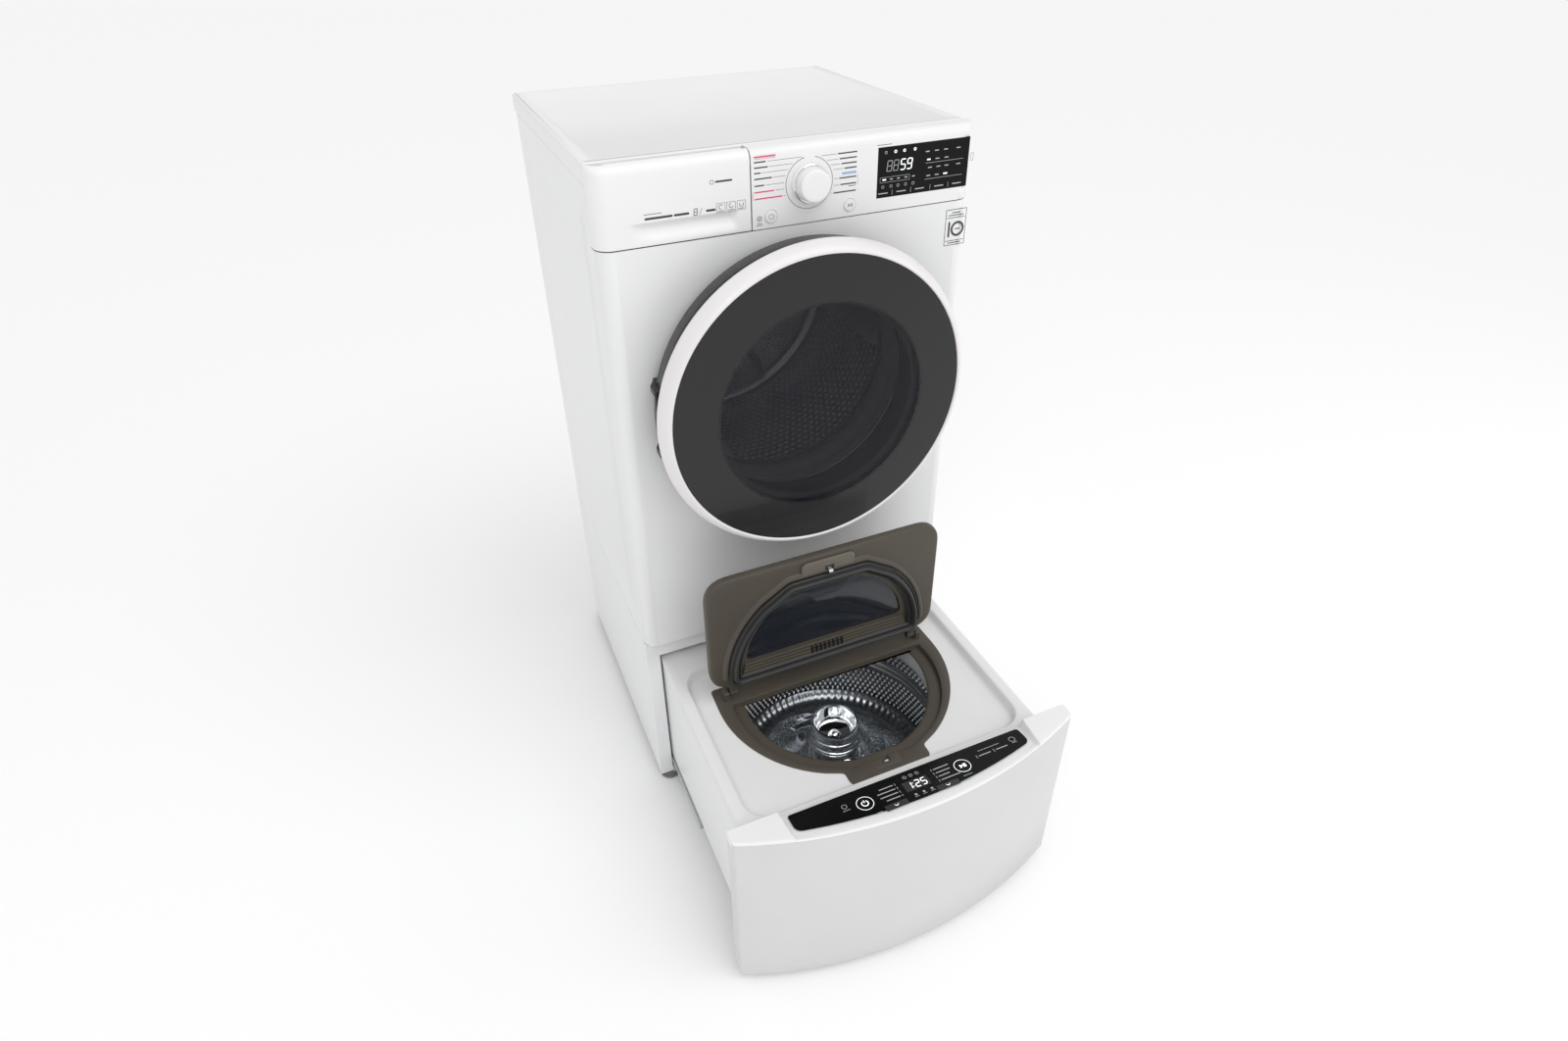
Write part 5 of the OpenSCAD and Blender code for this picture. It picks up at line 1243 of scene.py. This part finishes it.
def buttons():
    for kind in ("power", "play"):
        body = node = kind.replace("play", "start") + "_button"
        spot = (low(node) + high(node)) / 2
        place = lambda u, v, w, spot=spot: (spot.x + u, FRONT - w, spot.z + v)
        cap = Shell(place)
        cap.plate(circle(9.4 * MM, 64), [(0, -3 * MM), (0, 0.5 * MM), (0.3 * MM, 0.85 * MM), (1 * MM, 1 * MM), (6.6 * MM, 0.8 * MM)])
        cap.done(f"{kind}_cap", WHITE_PLASTIC, body, "white_plastic", node)
        icon = Marks(place, 0.8 * MM)
        if kind == "power":
            icon.power(0, 0, 3.9 * MM, 0.9 * MM)
        else:
            icon.play(0.4 * MM, 0, 3.6 * MM, 1.2 * MM)
        icon.done(f"{kind}_icon", INK_GREY, body, "white_plastic")
        rim = Marks(place, 0, 0.5 * MM)
        rim.hoop(0, 0, 10.4 * MM, 0.7 * MM, 64)
        rim.done(f"{kind}_rim", WHITE_PLASTIC, "cabinet", "white_plastic")


def display():
    lo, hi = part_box("display_window")
    pane = Shell(facing(lo.y))
    w, h = hi.x - lo.x, hi.z - lo.z
    cu, cv = (lo.x + hi.x) / 2, (lo.z + hi.z) / 2
    pane.plate(rectangle(w, h, 1 * MM, cu, cv), [(0, -2.8 * MM), (0, -0.3 * MM), (0.3 * MM, 0)])
    pane.done("display_pane", BLACK_PANEL, "cabinet", "black_panel", "display_window")
    lit = Marks(facing(lo.y))
    left, top = lo.x, hi.z
    for number, x in ((5, 43), (9, 54)):
        lit.digit(number, left + x * MM, top - 28 * MM, 7.6 * MM, 15 * MM, 1.5 * MM)
    for x in (29, 44, 62):
        lit.hoop(left + x * MM, top - 8 * MM, 1.8 * MM, 0.9 * MM, 16)
    for x, z, width in ((12, 47.5, 6), (87, 26, 6), (118, 50, 7)):
        lit.bar(left + x * MM, top - z * MM, width * MM, 2 * MM)
    lit.done("display_digits", LIT, "cabinet", "black_panel")
    # unlit segments and printed marks in the glowing print: a faint painted glow
    dim = Marks(facing(lo.y))
    for x in (20, 31):
        dim.digit(8, left + x * MM, top - 28 * MM, 7.6 * MM, 15 * MM, 0.9 * MM)
    for x in (13,):
        dim.hoop(left + x * MM, top - 8 * MM, 1.8 * MM, 0.7 * MM, 16)
    for z, xs in ((14, (84, 100, 116, 138)), (26, (102, 118)), (38, (90, 105, 119, 140)), (50, (88, 103))):
        for x in xs:
            dim.bar(left + x * MM, top - z * MM, 7 * MM, 1.5 * MM)
    for x in (10, 24, 36, 49, 62):
        dim.hoop(left + x * MM, top - 58 * MM, 2 * MM, 0.6 * MM, 16)
        if x > 12:
            dim.bar(left + x * MM, top - 47.5 * MM, 5 * MM, 1.6 * MM)
    for x in (11, 42, 74, 108, 140):
        dim.bar(left + x * MM, top - 67.5 * MM, 16 * MM, 1.5 * MM)
        if x > 30:
            dim.bar(left + (x - 15.5) * MM, top - 67.5 * MM, 0.5 * MM, 8 * MM)
    for z in (31, 55):
        dim.bar(left + 115 * MM, top - z * MM, 66 * MM, 0.5 * MM)
    dim.line([(left + u * MM, top - v * MM) for u, v in ((5, 44), (55, 44), (55, 51.5), (5, 51.5), (5, 44))], 0.4 * MM)
    dim.done("display_print", GLOWING_PRINT, "cabinet", "black_panel")


# ---- Cabinet skin ----

def worktop():
    lo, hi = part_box("worktop")
    w, h, mid = hi.x - lo.x, hi.y - lo.y, (lo.y + hi.y) / 2
    t = hi.z - lo.z
    outline = rectangle(w, h, 5 * MM, 0, mid)
    shell = Shell()
    foot, crown = shell.walls([(offset(outline, -0.8 * MM), lo.z), (outline, lo.z + 0.8 * MM), (outline, lo.z + t - 5 * MM),
                               (offset(outline, -0.5 * MM), hi.z - 3 * MM), (offset(outline, -1.6 * MM), hi.z - 1.3 * MM),
                               (offset(outline, -3.4 * MM), hi.z - 0.3 * MM), (offset(outline, -6 * MM), hi.z)])
    field, well = shell.walls([(rectangle(w - 26 * MM, h - 26 * MM, 8 * MM, 0, mid), hi.z), (rectangle(w - 30 * MM, h - 30 * MM, 8 * MM, 0, mid), hi.z - 0.8 * MM)])
    shell.fill(foot)
    shell.fill(crown, field)
    shell.fill(well)
    shell.done("worktop_board", WHITE_PLASTIC, "cabinet", "white_plastic", "worktop", smooth=40)


def pressed_side(name, box, side, field_inset, nodes):
    """Sheet side wall with a shallow pressed field."""
    (y0, z0), (y1, z1) = box
    place = lambda u, v, w: (side * (HALF_W - 2 * MM + w), u, v)
    shell = Shell(place)
    sheet = rectangle(y1 - y0, z1 - z0, 1 * MM, (y0 + y1) / 2, (z0 + z1) / 2, 3)
    inner, outer = shell.walls([(sheet, 0), (sheet, 1.4 * MM), (offset(sheet, -0.6 * MM), 2 * MM)])
    du, dv = field_inset
    field = rectangle(y1 - y0 - 2 * du, z1 - z0 - 2 * dv, 26 * MM, (y0 + y1) / 2, (z0 + z1) / 2, 8)
    a, b = shell.walls([(field, 2 * MM), (offset(field, -2 * MM), 1.5 * MM), (offset(field, -5 * MM), 1.2 * MM)])
    shell.fill(inner)
    shell.fill(outer, a)
    shell.fill(b)
    shell.done(name, WHITE_ENAMEL, "cabinet", "white_enamel", *nodes, smooth=25)


def cabinet_sides():
    lo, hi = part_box("side_panels")
    for side, word in ((-1, "left"), (1, "right")):
        pressed_side(f"side_{word}", ((lo.y, lo.z), (hi.y, hi.z)), side, (46 * MM, 60 * MM), ("side_panels",))


def rear_details():
    """Cover over the motor, vent slots, screws and stiffening beads on the rear panel."""
    back = high("rear_panel").y
    place = lambda u, v, w: (-u, back + w, v)
    cover = Shell(place)
    plate = rectangle(330 * MM, 330 * MM, 60 * MM, 0, DOOR_Z - 20 * MM, 10)
    rim, face = cover.walls([(plate, 0), (plate, 1.2 * MM), (offset(plate, -1 * MM), 2 * MM), (offset(plate, -14 * MM), 2.2 * MM),
                             (offset(plate, -18 * MM), 4 * MM), (offset(plate, -24 * MM), 4.4 * MM)])
    cover.fill(rim)
    cover.fill(face)
    cover.done("motor_cover", ZINC, "cabinet", "zinc_steel")
    beads = Shell(place)
    for z in (410, 450, 560, 600):
        beads.plate(rectangle(420 * MM, 12 * MM, 5.9 * MM, 0, z * MM), [(0, 0), (1.5 * MM, 1.2 * MM), (3.5 * MM, 1.8 * MM)])
    beads.done("rear_beads", ZINC, "cabinet", "zinc_steel")
    foot = Shell(place)
    for z in (70, 120, 270, 320):
        foot.plate(rectangle(420 * MM, 12 * MM, 5.9 * MM, 0, z * MM), [(0, 0), (1.5 * MM, 1.2 * MM), (3.5 * MM, 1.8 * MM)])
    foot.done("pedestal_beads", WHITE_ENAMEL, "cabinet", "white_enamel")
    vents = Shell(place)
    for i in range(9):
        vents.plate(rectangle(70 * MM, 4 * MM, 1.9 * MM, -30 * MM, (1075 + 9 * i) * MM), [(0, 0.0), (0, 0.2 * MM), (0.3 * MM, 0.35 * MM)])
    vents.done("rear_vents", BLACK_PLASTIC, "cabinet", "black_plastic")
    screws = Shell(place)
    spots = [(sx * 286, z) for sx in (-1, 1) for z in (380, 560, 760, 960, 1170)] + [(sx * 152, DOOR_Z / MM - 20 + sz * 152) for sx in (-1, 1) for sz in (-1, 1)]
    spots += [(sx * 286, z) for sx in (-1, 1) for z in (30, 180, 350)]
    for u, v in spots:
        head = circle(4.4 * MM, 20, u * MM, v * MM)
        base = 2 * MM if abs(u) < 200 else 0
        screws.plate(head, [(0, base), (0.2 * MM, base + 1.2 * MM), (1.6 * MM, base + 2.2 * MM)])
    screws.done("rear_screws", ZINC, "cabinet", "zinc_steel", smooth=50)


def soften(width, *nodes):
    """Eased edges on sheet and moulded parts whose shape is already right."""
    for name in nodes:
        piece = frame["nodes"][name]
        weld = piece.modifiers.new("weld", "WELD")
        weld.merge_threshold = 0.02 * MM
        flat = piece.modifiers.new("flat", "DECIMATE")
        flat.decimate_type = "DISSOLVE"
        flat.angle_limit = math.radians(0.5)
        ease = piece.modifiers.new("ease", "BEVEL")
        ease.width = width * MM
        ease.segments = 2
        ease.limit_method = "ANGLE"
        ease.angle_limit = math.radians(50)
        ease.harden_normals = True


add_camera()
add_studio()
finish_cad_nodes()
for build in (lid_plate, lid_rim, lid_seal, lid_pane, lid_sill, lid_hinge_bar, lid_handle, collar, collar_fittings,
              drawer_front, top_trim, control_strip, tray, small_drum, pulsator, door, wash_drum, detergent_front,
              dial, band_print, grip_print, buttons, display, worktop, cabinet_sides, rear_details):
    build()
soften(0.7, "front_panel", "control_panel", "filter_flap")
